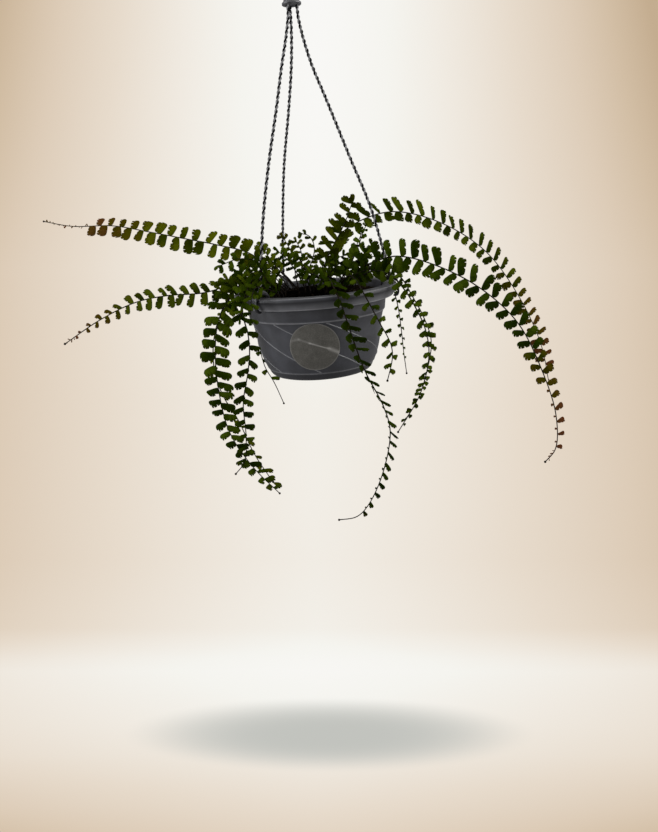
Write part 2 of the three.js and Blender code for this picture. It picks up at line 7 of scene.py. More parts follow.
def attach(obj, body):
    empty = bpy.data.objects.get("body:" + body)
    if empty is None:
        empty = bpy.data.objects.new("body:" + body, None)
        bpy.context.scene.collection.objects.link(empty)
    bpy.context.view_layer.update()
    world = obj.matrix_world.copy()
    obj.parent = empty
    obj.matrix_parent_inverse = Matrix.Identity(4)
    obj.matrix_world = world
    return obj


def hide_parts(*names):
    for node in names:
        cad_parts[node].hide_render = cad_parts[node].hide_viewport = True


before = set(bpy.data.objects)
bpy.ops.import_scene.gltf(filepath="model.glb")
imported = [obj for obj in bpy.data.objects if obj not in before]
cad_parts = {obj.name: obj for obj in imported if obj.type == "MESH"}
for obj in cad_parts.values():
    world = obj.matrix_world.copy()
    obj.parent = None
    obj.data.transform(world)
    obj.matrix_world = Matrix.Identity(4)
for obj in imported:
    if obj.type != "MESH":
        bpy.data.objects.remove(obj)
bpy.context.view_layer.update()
mm = 0.001
rimHeight = -402 * mm    # top face of the pot's rim, below the hanging point
print("frame loaded")

# ---- camera ----
cameraSettings = {
    "place": (0, -0.850, -0.3038), "pitch": -0.11488, "roll": -0.083174,
    "lens": 30.05, "shiftX": 0.0167, "shiftY": -0.155,
}


def placeObject(name, data, place, axes):
    # axes: the object's own x, y and z directions as columns
    made = bpy.data.objects.new(name, data)
    made.matrix_world = Matrix.Translation(place) @ Matrix(axes.tolist()).to_4x4()
    bpy.context.collection.objects.link(made)
    return made


def makeCamera(s):
    forward = np.array([0, math.cos(s["pitch"]), math.sin(s["pitch"])])
    right = np.array([1.0, 0, 0])
    up = np.cross(right, forward)
    turn, tilt = math.cos(s["roll"]), math.sin(s["roll"])
    axes = np.stack([right * turn + up * tilt, up * turn - right * tilt, -forward], 1)
    data = bpy.data.cameras.new("camera")
    data.lens, data.sensor_width = s["lens"], 36
    data.shift_x, data.shift_y = s["shiftX"], s["shiftY"]
    bpy.context.scene.camera = placeObject("camera", data, s["place"], axes)


makeCamera(cameraSettings)
bpy.context.scene.view_settings.view_transform = "Standard"


# ---- whole-array mesh helpers ----
def makePiece(name, points, faces, materials, indexes=None, uv=None, tone=None, sharp=None):
    # faces: whole arrays of quads and triangles; uv and tone: a row for every point
    corners = np.concatenate([f.ravel() for f in faces])
    sizes = np.concatenate([np.full(len(f), f.shape[1]) for f in faces])
    mesh = bpy.data.meshes.new(name)
    mesh.vertices.add(len(points))
    mesh.loops.add(len(corners))
    mesh.polygons.add(len(sizes))
    mesh.vertices.foreach_set("co", np.asarray(points, np.float32).ravel())
    mesh.loops.foreach_set("vertex_index", corners.astype(np.int32))
    mesh.polygons.foreach_set("loop_start", (np.cumsum(sizes) - sizes).astype(np.int32))
    for material in materials:
        mesh.materials.append(material)
    if indexes is not None:
        mesh.polygons.foreach_set("material_index", np.asarray(indexes, np.int32))
    mesh.update(calc_edges=True)
    mesh.shade_smooth()
    if uv is not None:
        layer = mesh.uv_layers.new(name="surface")
        layer.data.foreach_set("uv", np.asarray(uv, np.float32)[corners].ravel())
    if tone is not None:
        layer = mesh.attributes.new("tone", "FLOAT_COLOR", "POINT")
        layer.data.foreach_set("color", np.asarray(tone, np.float32).ravel())
    if sharp is not None:
        mesh.set_sharp_from_angle(angle=math.radians(sharp))
    piece = bpy.data.objects.new(name, mesh)
    bpy.context.collection.objects.link(piece)
    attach(piece, "root")
    return piece


def tubeFaces(tubes, rows, columns):
    # many equal tubes, each of rows x columns points and then its two poles:
    # quads between neighbouring rings and a fan of triangles at each end
    i, j = np.meshgrid(np.arange(rows - 1), np.arange(columns), indexing="ij")
    k = (j + 1) % columns
    quads = np.stack([i * columns + j, i * columns + k, (i + 1) * columns + k, (i + 1) * columns + j], -1)
    j = np.arange(columns)
    k = (j + 1) % columns
    pole = np.full(columns, rows * columns)
    last = (rows - 1) * columns
    fans = np.concatenate([np.stack([pole, k, j], -1), np.stack([pole + 1, last + j, last + k], -1)])
    base = (np.arange(tubes) * (rows * columns + 2))[:, None, None]
    return (quads.reshape(-1, 4) + base).reshape(-1, 4), (fans + base).reshape(-1, 3)


def tubePoints(rings, first, last):
    # rings (tubes, rows, columns, 3) and the poles (tubes, 3) in the order that tubeFaces numbers them
    tubes = len(rings)
    flat = rings.reshape(tubes, -1, rings.shape[-1])
    return np.concatenate([flat, first[:, None], last[:, None]], 1).reshape(-1, rings.shape[-1])


def tubes(rings, first, last):
    # points and faces of tubes from their rings (tubes, rows, columns, 3) and poles (tubes, 3)
    return tubePoints(rings, first, last), tubeFaces(*rings.shape[:3])


def unit(v):
    return v / np.maximum(np.linalg.norm(v, axis=-1, keepdims=True), 1e-12)


def fullTurn(count):
    return np.linspace(0, 2 * np.pi, count, endpoint=False)


def polar(radius, angle, height):
    # places at a distance from the z axis, an angle round it and a height
    radius, angle, height = np.broadcast_arrays(radius, angle, height)
    return np.stack([radius * np.cos(angle), radius * np.sin(angle), height], -1)


def ringsRound(centre, up, across, radius, turn):
    # rings of points round places on a path: centre + radius * (cos(turn) * up + sin(turn) * across)
    turn = np.asarray(turn)[..., None]
    flat = np.cos(turn) * up[..., None, :] + np.sin(turn) * across[..., None, :]
    return centre[..., None, :] + np.asarray(radius)[..., None] * flat


def smoothPath(points, steps=40):
    # cubic from each point to the next, with speeds set by the square roots of the gaps
    p = np.asarray(points, float)
    p = np.concatenate([[2 * p[0] - p[1]], p, [2 * p[-1] - p[-2]]])
    gap = np.sqrt(np.linalg.norm(np.diff(p, axis=0), axis=1))[:, None]
    a, b, c = gap[:-2], gap[1:-1], gap[2:]
    p0, p1, p2, p3 = p[:-3], p[1:-2], p[2:-1], p[3:]
    leave = ((p1 - p0) / a - (p2 - p0) / (a + b) + (p2 - p1) / b) * b
    arrive = ((p2 - p1) / b - (p3 - p1) / (b + c) + (p3 - p2) / c) * b
    t = np.linspace(0, 1, steps, endpoint=False)[:, None, None]
    curve = ((2 * t**3 - 3 * t**2 + 1) * p1 + (t**3 - 2 * t**2 + t) * leave
             + (3 * t**2 - 2 * t**3) * p2 + (t**3 - t**2) * arrive)
    return np.concatenate([curve.transpose(1, 0, 2).reshape(-1, curve.shape[-1]), p[-2:-1]])


def walked(path):
    # distance along the path to each of its points
    return np.concatenate([[0], np.cumsum(np.linalg.norm(np.diff(path, axis=0), axis=1))])


def pick(path, distance, values=None):
    # the path's points, or values that belong to them, at distances along the path
    far = walked(path)
    values = path if values is None else values
    return np.stack([np.interp(distance, far, values[:, k]) for k in range(values.shape[1])], -1)


def headings(path):
    return unit(np.gradient(path, axis=0))


def steadyFrame(path, distance, start):
    # places on a path that never points along start, its direction and the two directions across it
    centre, forward = pick(path, distance), unit(pick(path, distance, headings(path)))
    across = unit(np.cross(forward, start))
    return centre, forward, np.cross(across, forward), across


def roundCorners(profile, radii, steps):
    # every corner of a profile becomes a quadratic curve between points one radius away from it
    p = np.asarray(profile, float)
    r = np.asarray(radii, float)[1:-1, None]
    back, on = p[:-2] - p[1:-1], p[2:] - p[1:-1]
    start = p[1:-1] + unit(back) * np.minimum(r, 0.45 * np.linalg.norm(back, axis=1, keepdims=True))
    end = p[1:-1] + unit(on) * np.minimum(r, 0.45 * np.linalg.norm(on, axis=1, keepdims=True))
    t = np.linspace(0, 1, steps)[:, None, None]
    curve = (1 - t)**2 * start + 2 * t * (1 - t) * p[1:-1] + t**2 * end
    return np.concatenate([p[:1], curve.transpose(1, 0, 2).reshape(-1, p.shape[1]), p[-1:]])


# ---- shader helpers ----
def addNode(tree, kind, inputs=(), **fields):
    # inputs: socket name or number to a value or to another node's output
    node = tree.nodes.new(kind)
    for key, value in fields.items():
        setattr(node, key, value)
    for key, value in dict(inputs).items():
        if isinstance(value, bpy.types.NodeSocket):
            tree.links.new(value, node.inputs[key])
        else:
            node.inputs[key].default_value = value
    return node


def compute(tree, operation, *values, clamp=False):
    return addNode(tree, "ShaderNodeMath", enumerate(values), operation=operation,
                   use_clamp=clamp).outputs[0]


def remap(tree, value, low, high, toLow=0.0, toHigh=1.0, **fields):
    ends = {"Value": value, "From Min": low, "From Max": high, "To Min": toLow, "To Max": toHigh}
    return addNode(tree, "ShaderNodeMapRange", ends, **fields).outputs[0]


def addRamp(tree, factor, stops):
    node = addNode(tree, "ShaderNodeValToRGB", {"Fac": factor})
    elements = node.color_ramp.elements
    while len(elements) < len(stops):
        elements.new(0.5)
    for element, (place, colour) in zip(elements, stops):
        element.position, element.color = place, (*colour, 1)
    return node.outputs["Color"]


def mixColours(tree, factor, first, second, blend="MIX"):
    # the two colours are a node's output or red, green and blue
    first, second = (c if isinstance(c, bpy.types.NodeSocket) else (*c, 1) for c in (first, second))
    return addNode(tree, "ShaderNodeMix", {"Factor": factor, 6: first, 7: second}, data_type="RGBA",
                   blend_type=blend).outputs[2]


def splitPlace(tree, vector):
    split = addNode(tree, "ShaderNodeSeparateXYZ", {0: vector}).outputs
    return split["X"], split["Y"], split["Z"]


def readCoordinates(tree, kind):
    return addNode(tree, "ShaderNodeTexCoord").outputs[kind]


def readSurface(tree):
    return splitPlace(tree, addNode(tree, "ShaderNodeUVMap", uv_map="surface").outputs["UV"])


def readTone(tree):
    # the point attribute "tone" as red, green and blue
    tone = addNode(tree, "ShaderNodeAttribute", attribute_name="tone").outputs["Color"]
    return addNode(tree, "ShaderNodeSeparateColor", {0: tone}).outputs


def addNoise(tree, scale, detail, roughness=0.5):
    ends = {"Vector": readCoordinates(tree, "Object"), "Scale": scale, "Detail": detail,
            "Roughness": roughness}
    return addNode(tree, "ShaderNodeTexNoise", ends).outputs["Fac"]


# ---- shared node groups ----
def newGroup(name, inputs, build):
    # inputs: names and usual values; build gives the outputs by name
    group = bpy.data.node_groups.new(name, "ShaderNodeTree")
    for label, value in inputs.items():
        socket = group.interface.new_socket(name=label, in_out="INPUT", socket_type="NodeSocketFloat")
        socket.default_value = value
    outputs = build(group, group.nodes.new("NodeGroupInput").outputs)
    for label in outputs:
        group.interface.new_socket(name=label, in_out="OUTPUT", socket_type="NodeSocketFloat")
    result = group.nodes.new("NodeGroupOutput")
    for label, socket in outputs.items():
        group.links.new(socket, result.inputs[label])
    return group


def buildGrain(tree, given):
    # fine tooth and slow blotches on Object coordinates
    return {"Height": addNoise(tree, given["Fine Scale"], 3.0),
            "Blotch": addNoise(tree, given["Slow Scale"], 5.0, 0.6)}


def buildDust(tree, given):
    # more dust where a face looks up, broken by noise
    normal = addNode(tree, "ShaderNodeNewGeometry").outputs["Normal"]
    top = remap(tree, splitPlace(tree, normal)[2], 0.1, 0.95)
    patchy = remap(tree, addNoise(tree, given["Scale"], 6.0, 0.7), 0.3, 0.75)
    both = compute(tree, "MULTIPLY", top, patchy)
    return {"Mask": compute(tree, "MULTIPLY", both, given["Amount"], clamp=True)}


def buildVeins(tree, given):
    # fine ribs that fan out from a leaflet's stalk: a wave of the angle seen from the stalk's end
    along, across, _ = readSurface(tree)
    angle = compute(tree, "ARCTAN2", compute(tree, "ADD", across, 0.16), compute(tree, "ADD", along, 0.12))
    wave = compute(tree, "SINE", compute(tree, "MULTIPLY", angle, given["Count"]))
    return {"Height": remap(tree, wave, 0.2, 1.0), "Edge": remap(tree, across, 0.14, 0.3)}


grain = newGroup("grain", {"Fine Scale": 900, "Slow Scale": 30}, buildGrain)
dust = newGroup("dust", {"Amount": 0.3, "Scale": 60}, buildDust)
veins = newGroup("veins", {"Count": 60}, buildVeins)


def addGroup(tree, group, **values):
    node = tree.nodes.new("ShaderNodeGroup")
    node.node_tree = group
    for key, value in values.items():
        node.inputs[key.replace("_", " ")].default_value = value
    return node.outputs


# ---- materials ----
def newMaterial(name, **plain):
    # plain: values set on the shader's own sockets
    material = bpy.data.materials.new(name)
    material.use_nodes = True
    tree = material.node_tree
    shader = tree.nodes["Principled BSDF"]
    for key, value in plain.items():
        shader.inputs[key.replace("_", " ")].default_value = value
    return material, tree, shader


def dress(tree, shader, colour, roughness, height, strength, distance):
    # the shader's colour, its roughness unless that is None, and its bump
    tree.links.new(colour, shader.inputs["Base Color"])
    if roughness is not None:
        tree.links.new(roughness, shader.inputs["Roughness"])
    bump = addNode(tree, "ShaderNodeBump", {"Height": height, "Strength": strength, "Distance": distance})
    tree.links.new(bump.outputs["Normal"], shader.inputs["Normal"])


def makePlastic(name, s):
    # the tone's red marks ridges, pale with wear and a painted highlight, and its green painted shade; a
    # glossy plastic has a painted sheen on its rims instead
    material, tree, shader = newMaterial(name, Specular_IOR_Level=s["specular"])
    tooth = addGroup(tree, grain, Fine_Scale=s["toothScale"], Slow_Scale=s["blotchScale"])
    layer = addGroup(tree, dust, Amount=s["dust"], Scale=90)
    colour = addRamp(tree, tooth["Blotch"], [(0.3, s["dark"]), (0.7, s["light"])])
    colour = mixColours(tree, layer["Mask"], colour, s["dustColour"])
    if "edge" in s:
        marks = readTone(tree)
        # painted shade: the tone's green darkens the flange's face, the band and the base
        colour = mixColours(tree, marks["Green"], colour, s["grime"])
        # painted highlight on the ridges, partly wear: blotches break it up
        worn = remap(tree, tooth["Blotch"], 0.25, 0.6, 0.5)
        colour = mixColours(tree, compute(tree, "MULTIPLY", marks["Red"], worn), colour, s["edge"])
    if "rim" in s:
        # painted sheen: paler where the surface is seen side-on
        facing = addNode(tree, "ShaderNodeLayerWeight", {"Blend": 0.15}).outputs["Facing"]
        colour = mixColours(tree, facing, colour, s["rim"])
    rough = remap(tree, tooth["Blotch"], 0.3, 0.7, *s["roughness"])
    dress(tree, shader, colour, rough, tooth["Height"], s["bump"], 0.0002)
    return material


# ---- ropes: two plies of grey yarn laid round each other ----
clipAngles = {"right": -11, "back": 116.5, "left": 228}
ropeSettings = {
    "diameter": 4.2 * mm, "turn": 11.4 * mm, "step": 0.75 * mm, "sides": 16,
    "reach": 0.235, "ply": 0.265,    # how far off the axis a ply's middle is, and its radius
    "fibres": 16.0, "slant": 9.0, "dark": (0.0025, 0.0025, 0.003), "light": (0.22, 0.22, 0.225),
}
ropeRoutes = {    # distance from the middle and height, in mm
    "right": [(6.2, -67.2), (6.6, -80), (8.3, -93), (12.2, -113), (19.1, -140), (31, -175), (54.7, -247.5),
              (75.7, -311), (92.4, -391.1)],
    "back": [(4.6, -67.2), (5, -80), (7.6, -103), (15.4, -136.6), (30.9, -179), (61.2, -252), (84, -342),
             (92.4, -391.1)],
    "left": [(6.4, -67.2), (7.6, -80), (14, -104), (27, -142.6), (40.4, -186.7), (63, -256.5), (79.4, -318),
             (92.4, -391.1)],
}


def makeYarn(s):
    material, tree, shader = newMaterial("ropeYarn", Roughness=0.8, Specular_IOR_Level=0.05)
    # the surface counts the plies round the rope and the turns along it: fibres run across each ply
    ply, turn, _ = readSurface(tree)
    run = compute(tree, "MULTIPLY_ADD", turn, s["fibres"], compute(tree, "MULTIPLY", ply, s["slant"]))
    fibre = compute(tree, "SINE", compute(tree, "MULTIPLY", run, 6.2832))
    fuzz = addGroup(tree, grain, Fine_Scale=1800, Slow_Scale=260)
    lit = addRamp(tree, readTone(tree)["Red"], [(0.5, s["dark"]), (0.62, s["light"])])
    worn = addRamp(tree, fuzz["Blotch"], [(0.3, (0.55, 0.55, 0.55)), (0.7, (1, 1, 1))])
    height = compute(tree, "MULTIPLY_ADD", fibre, 0.5, fuzz["Height"])
    dress(tree, shader, mixColours(tree, 1.0, lit, worn, "MULTIPLY"), None, height, 0.6, 0.0002)
    return material


yarn = makeYarn(ropeSettings)


def makeRope(side, s):
    angle = math.radians(clipAngles[side])
    away, height = np.array(ropeRoutes[side]).T * mm
    path = smoothPath(polar(away, angle, height))
    length = walked(path)[-1]
    at = np.linspace(0, length, int(length / s["step"]))
    centre, _, up, across = steadyFrame(path, at, np.array([-math.sin(angle), math.cos(angle), 0.0]))
    # outline of two touching circles, as a radius for each direction, turned evenly along the rope
    around = fullTurn(s["sides"])
    reach, ply = s["reach"] * s["diameter"], s["ply"] * s["diameter"]
    radius = reach * np.abs(np.cos(around)) + np.sqrt(ply**2 - (reach * np.sin(around))**2)
    rings = ringsRound(centre, up, across, radius, 2 * np.pi * at[:, None] / s["turn"] + around)
    points, faces = tubes(rings[None], centre[:1], centre[-1:])
    u, v = np.broadcast_arrays(around / np.pi, at[:, None] / s["turn"])
    uv = np.concatenate([np.stack([u, v], -1).reshape(-1, 2), [[0, 0], [0, v.max()]]])
    tone = np.ones((len(points), 4))
    tone[:-2, 0] = np.tile(0.5 + 0.5 * np.cos(around), len(at))
    rope = makePiece("twistedRope_" + side, points, faces, [yarn], uv=uv, tone=tone)
    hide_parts("rope_" + side)
    return float(length)


for side in ropeRoutes:
    print("rope", side, round(makeRope(side, ropeSettings), 4), "m")

# ---- pot ----
potShape = {
    "ribs": 8, "ribLift": 0.65, "ribWidth": 0.75, "ribStart": -40, "ribSweep": 1.385, "ribTop": 31,
    "ribBottom": 92, "wall": slice(9, 24),    # the profile's rows that are the outside wall
    # radius, depth below the rim, rounding, all in mm: underside, base band, body, bands, rim, inside
    "profile": [
        (0, 100, 0), (30, 100, 1), (54, 100, 1), (56.5, 102, 0.8), (60.5, 102, 1.2), (63.2, 99, 1.5),
        (65.3, 94.2, 0.6), (66.1, 93.6, 0.4), (66.9, 92.4, 0.5), (67.2, 91.2, 0.8), (69.4, 86.5, 2.5),
        (71.6, 80, 3), (73.4, 74, 3), (74.8, 68, 3), (75.8, 62, 3), (76.8, 56, 3), (77.6, 50, 3),
        (78.6, 43.5, 3), (80.2, 37, 3), (81.7, 32.2, 0.6), (82.9, 31.4, 0.5), (83.7, 30.2, 0.5),
        (83.9, 28.6, 0.8), (85.9, 14.6, 0.8), (86.6, 12.6, 0.6), (89.4, 3.4, 0.5), (96.2, 3.9, 0.5),
        (93.2, 12.9, 0.5), (92.9, 14.3, 0.5), (94.1, 14.5, 0.5), (95.2, 13.3, 0.6), (99.9, 4.4, 0.8),
        (99.85, 1.1, 0.5), (98.8, 0.1, 0.6), (85.9, 0, 0.9), (84.5, 1.4, 0.8), (80.6, 31, 3), (75.1, 56, 6),
        (70.7, 78, 6), (63.6, 97, 3), (60, 98.2, 2), (0, 98.2, 0),
    ],
    # depth, half height and strength of the painted shade: darker zones on the flange's face, the band and
    # the base
    "grime": [(7.2, 5.2, 0.75), (22.0, 7.0, 0.35), (98.0, 4.0, 0.5)],
    # the lip that catches the light: its radius and half width, and the depth where it fades
    "lip": (99.3, 0.35, 0.8),
    # depth, half width and strength of the other edges, pale with wear and a painted highlight
    "edges": [(13.7, 1.1, 1.0), (30.6, 0.9, 0.8), (93.0, 0.8, 0.6), (101.4, 0.8, 0.2)],
}
potFinish = {
    "dark": (0.024, 0.024, 0.027), "light": (0.038, 0.039, 0.046), "dustColour": (0.10, 0.098, 0.098),
    "dust": 0.3, "toothScale": 1500, "blotchScale": 45, "roughness": (0.42, 0.6), "bump": 0.25,
    # the edge colour is a painted highlight on the ridges, partly wear, and the last colour is painted
    # shade
    "specular": 0.3, "edge": (0.2, 0.2, 0.21), "grime": (0.009, 0.009, 0.010),
}
potPlastic = makePlastic("potPlastic", potFinish)


def buildPot(s):
    # the profile turned about the axis: radius + ribLift * exp(-(angle from the nearest rib / ribWidth)^2),
    # where the ribs turn evenly with depth, and the columns of the grid turn with them
    profile = np.array(s["profile"])
    rows = roundCorners(profile[:, :2], profile[:, 2], 5)[1:-1]
    radius, depth = rows.T
    inside = np.arange(len(rows)) > np.argmax(radius)
    slide = np.clip(depth, s["ribTop"], s["ribBottom"]) - s["ribTop"]
    turn = np.where(inside, 0, s["ribSweep"] * slide)
    body = (depth > s["ribTop"] + 1) & (depth < s["ribBottom"] - 0.5) & ~inside
    spacing = 360 / s["ribs"]
    near = np.array([-2.2, -1.4, -0.9, -0.5, -0.2, 0, 0.2, 0.5, 0.9, 1.4, 2.2])
    offsets = np.concatenate([near, np.linspace(4.5, spacing - 4.5, 12)])
    columns = (np.arange(s["ribs"])[:, None] * spacing + offsets).ravel()
    crest = np.tile(np.exp(-(offsets / s["ribWidth"])**2), s["ribs"]) * body[:, None]
    angle = np.radians(-90 + s["ribStart"] + columns + turn[:, None])
    rings = polar(radius[:, None] + s["ribLift"] * crest, angle, -depth[:, None]) * mm
    rings[..., 2] += rimHeight
    poles = polar(0, 0, rimHeight - profile[[0, -1], 1:2] * mm)
    points, faces = tubes(rings[None], *poles)
    # the tone's red marks ridges, pale with wear and a painted highlight: ribs, the edges of the bands and
    # the rim's outer top edge
    lip, half, fade = s["lip"]
    ridge = np.exp(-((radius - lip) / half)**2) * np.exp(-(depth / fade)**2)
    for place, half, strength in s["edges"]:
        ridge = np.maximum(ridge, strength * np.exp(-((depth - place) / half)**2) * ~inside)
    # the tone's green is painted shade on the flange's face, the band and the base
    grime = sum(most / (1 + ((depth - place) / half)**8) for place, half, most in s["grime"]) * ~inside
    tone = np.zeros((crest.size + 2, 4))
    tone[:-2, 0] = np.maximum(0.85 * crest, ridge[:, None]).ravel()
    tone[:-2, 1] = np.repeat(grime, len(columns))
    tone[:, 3] = 1
    return makePiece("potBody", points, faces, [potPlastic], tone=tone, sharp=50)


pot = buildPot(potShape)
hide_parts("pot")
print("pot made")


def wallRadius(depth):
    # outside radius of the plain wall, in mm, for depths below the rim
    profile = np.array(potShape["profile"])[potShape["wall"]]
    return np.interp(depth, profile[::-1, 1], profile[::-1, 0])


# ---- label: a round foil sticker, creased where the ribs pass under it ----
labelShape = {
    "angle": -4.7, "depth": 59.4, "radius": 29, "thickness": 0.22, "gap": 0.75, "rings": 44, "sectors": 120,
    "squeeze": 0.973,    # its height over its width
    # creases as start and end from the label's middle, height and half width, in mm
    "creases": [((-27, 8), (-17, 10), 0.16, 1.8), ((-17, 10), (-5, 5), 0.18, 1.6),
                ((-5, 5), (17, -3.5), 0.42, 0.8), ((17, -3.5), (27, -9), 0.42, 2.2)],
}


def makeFoil():
    material, tree, shader = newMaterial("labelFoil", Specular_IOR_Level=0.6, Coat_Weight=0.12,
                                         Coat_Roughness=0.3, Metallic=0.2)
    tooth = addGroup(tree, grain, Fine_Scale=1400, Slow_Scale=120)
    fleck = addRamp(tree, tooth["Height"], [(0.38, (0.052, 0.048, 0.042)), (0.62, (0.098, 0.093, 0.080))])
    worn = addRamp(tree, tooth["Blotch"], [(0.35, (0.7, 0.7, 0.68)), (0.68, (1, 1, 1))])
    colour = mixColours(tree, 1.0, fleck, worn, "MULTIPLY")
    # painted highlight: paler along the creases and round the edge, where the foil would catch the light
    colour = mixColours(tree, readTone(tree)["Red"], colour, (0.34, 0.33, 0.31))
    rough = remap(tree, tooth["Blotch"], 0.35, 0.65, 0.28, 0.44)
    dress(tree, shader, colour, rough, tooth["Height"], 0.3, 0.0002)
    return material


def buildLabel(s):
    # polar grid bent to the wall; each crease lifts it by height * exp(-(distance from its line / width)^2)
    share = np.linspace(0, 1, s["rings"] + 1)[1:, None]
    across, up, _ = np.moveaxis(polar(s["radius"] * share, fullTurn(s["sectors"]), 0), -1, 0)
    up = up * s["squeeze"]

    def creases(across, up):
        lift = np.zeros(np.shape(across))
        for (startX, startY), (endX, endY), height, width in s["creases"]:
            line = np.array([endX - startX, endY - startY])
            along = ((across - startX) * line[0] + (up - startY) * line[1]) / (line @ line)
            held = np.clip(along, 0, 1)
            away = np.hypot(across - startX - held * line[0], up - startY - held * line[1])
            lift += height * np.exp(-(away / width)**2)
        return lift

    def surface(across, up, offset):
        waves = 0.1 * np.sin(across * 0.42 + up * 0.2) * np.cos(up * 0.31 - across * 0.1)
        depth = s["depth"] - up
        radius = wallRadius(depth) + offset + creases(across, up) + waves
        angle = np.radians(-90 + s["angle"]) + across / wallRadius(depth)
        return polar(radius * mm, angle, rimHeight - depth * mm)

    offsets = s["gap"], s["gap"] + s["thickness"]
    back, front = (surface(across, up, offset) for offset in offsets)
    rings = np.concatenate([back, front[::-1]])
    points, faces = tubes(rings[None], *(surface(np.zeros(1), np.zeros(1), offset) for offset in offsets))
    # the tone's red is a painted highlight along the creases and a thin one round the edge
    pale = np.clip(creases(across, up) * 1.4 - 0.06, 0, 0.6) + 0.3 * np.exp(-((share - 1) / 0.03)**2)
    tone = np.ones((len(points), 4))
    tone[:-2, 0] = np.concatenate([pale, pale[::-1]]).ravel()
    tone[-2:, 0] = 0
    return makePiece("labelSticker", points, faces, [makeFoil()], tone=tone, sharp=60)


label = buildLabel(labelShape)
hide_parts("label")


# ---- hanger and clips ----
clipFinish = {
    "dark": (0.006, 0.006, 0.007), "light": (0.02, 0.02, 0.022), "dustColour": (0.14, 0.14, 0.14),
    "dust": 0.2, "toothScale": 1200, "blotchScale": 160, "roughness": (0.25, 0.4), "bump": 0.15,
    # the rim colour is a painted sheen on faces seen side-on
    "specular": 0.2, "rim": (0.06, 0.06, 0.064),
}
capFinish = {
    "dark": (0.035, 0.035, 0.038), "light": (0.06, 0.06, 0.064), "dustColour": (0.15, 0.15, 0.15),
    "dust": 0.3, "toothScale": 1200, "blotchScale": 90, "roughness": (0.35, 0.5), "bump": 0.2,
    "specular": 0.5,
}
clipPlastic = makePlastic("clipPlastic", clipFinish)
capPlastic = makePlastic("capPlastic", capFinish)
hangerShape = {
    "capBottom": -66.5, "sides": 48, "hookRadius": 16, "hookThickness": 6,
    # the shank's distance from the axis and height above the cap's underside
    "shank": [(0, 16), (0, 22), (3, 30), (12, 40)],
    # radius, height above the cap's underside, rounding
    "cap": [(0, 1.2, 0), (7.6, 1.2, 0.4), (8.2, 0, 0.3), (11.2, 0, 0.4), (11.5, 0.4, 0.3), (11.5, 2.3, 0.5),
            (9.9, 3.2, 0.6), (9.5, 4.6, 0.5), (6.5, 16.4, 0.8), (6.6, 17.4, 0.4), (5.2, 18.6, 0.5),
            (4.3, 20, 0.6), (3.2, 20.4, 0.5), (0, 20.4, 0)],
}


def tubeAlong(path, radius, steps, sides, start):
    # a round section carried along the path, closed at both ends by two smaller rings and a pole
    centre, forward, up, across = steadyFrame(path, np.linspace(0, walked(path)[-1], steps), start)
    around = fullTurn(sides)
    rings = ringsRound(centre, up, across, radius, around)
    tip = radius * forward[[0, -1]] * np.array([[-1], [1]])
    ends = [[ringsRound(centre[end] + lift * tip[end], up[end], across[end], narrow * radius, around)
             for lift, narrow in ((0.38, 0.92), (0.78, 0.62))] for end in (0, -1)]
    rings = np.concatenate([ends[0][::-1], rings, ends[1]])
    return tubes(rings[None], centre[:1] + tip[:1], centre[-1:] + tip[1:])


def joinParts(parts):
    # one set of points and faces from several (points, (quads, triangles))
    shift = np.cumsum([0] + [len(points) for points, _ in parts[:-1]])
    faces = [np.concatenate([found[kind] + base for base, (_, found) in zip(shift, parts)])
             for kind in (0, 1)]
    return np.concatenate([points for points, _ in parts]), faces


def buildHanger(s):
    profile = np.array(s["cap"])
    rows = roundCorners(profile[:, :2], profile[:, 2], 4)[1:-1]
    base = s["capBottom"]
    rings = polar(rows[:, :1], fullTurn(s["sides"]), rows[:, 1:] + base) * mm
    cap = tubes(rings[None], *polar(0, 0, (base + profile[[0, -1], 1:2]) * mm))
    bend = np.radians([0, 30, 60, 90, 120, 150, 180, 205])
    arch = s["hookRadius"] * np.stack([np.cos(bend), 0 * bend, np.sin(bend) - 1], -1) + np.array([0, 0, 3])
    shank = [(across, 0, base + height) for across, height in s["shank"]]
    path = smoothPath(np.concatenate([shank, arch]) * mm)
    # the last few mm stay inside the solid hook's own length
    path = pick(path, np.linspace(0, walked(path)[-1] - 2.4 * mm, len(path)))
    hook = tubeAlong(path, s["hookThickness"] / 2 * mm, 90, 20, np.array([0, 1.0, 0]))
    points, faces = joinParts([cap, hook])
    return makePiece("hangerCap", points, faces, [capPlastic], sharp=40)


hanger = buildHanger(hangerShape)
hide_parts("hanger")

clipShape = {
    "width": 4.4, "sides": 20,
    "oblong": 0.38,    # 1 is a plain ellipse, smaller is more like an oblong
    # outer and inner edge of the clip from its inner foot, over the rim, to the claw under the lip
    "outer": [(80.4, -7.4), (80.7, -2.5), (81.6, 2.0), (84.2, 5.8), (88.4, 8.6), (92.6, 9.6), (97, 8.4),
              (100.6, 5), (102.4, 0.6), (102.7, -6), (102.6, -12.2), (100.6, -16), (95.4, -16.6)],
    "inner": [(82.4, -7.4), (82.6, -2.5), (83.4, 0.7), (85.6, 2.4), (88.6, 3.5), (92.4, 3.8), (96.4, 3.3),
              (99.3, 2.0), (100.7, 0.4), (100.7, -5), (100.5, -9.6), (98.6, -13.2), (95.4, -14.2)],
}


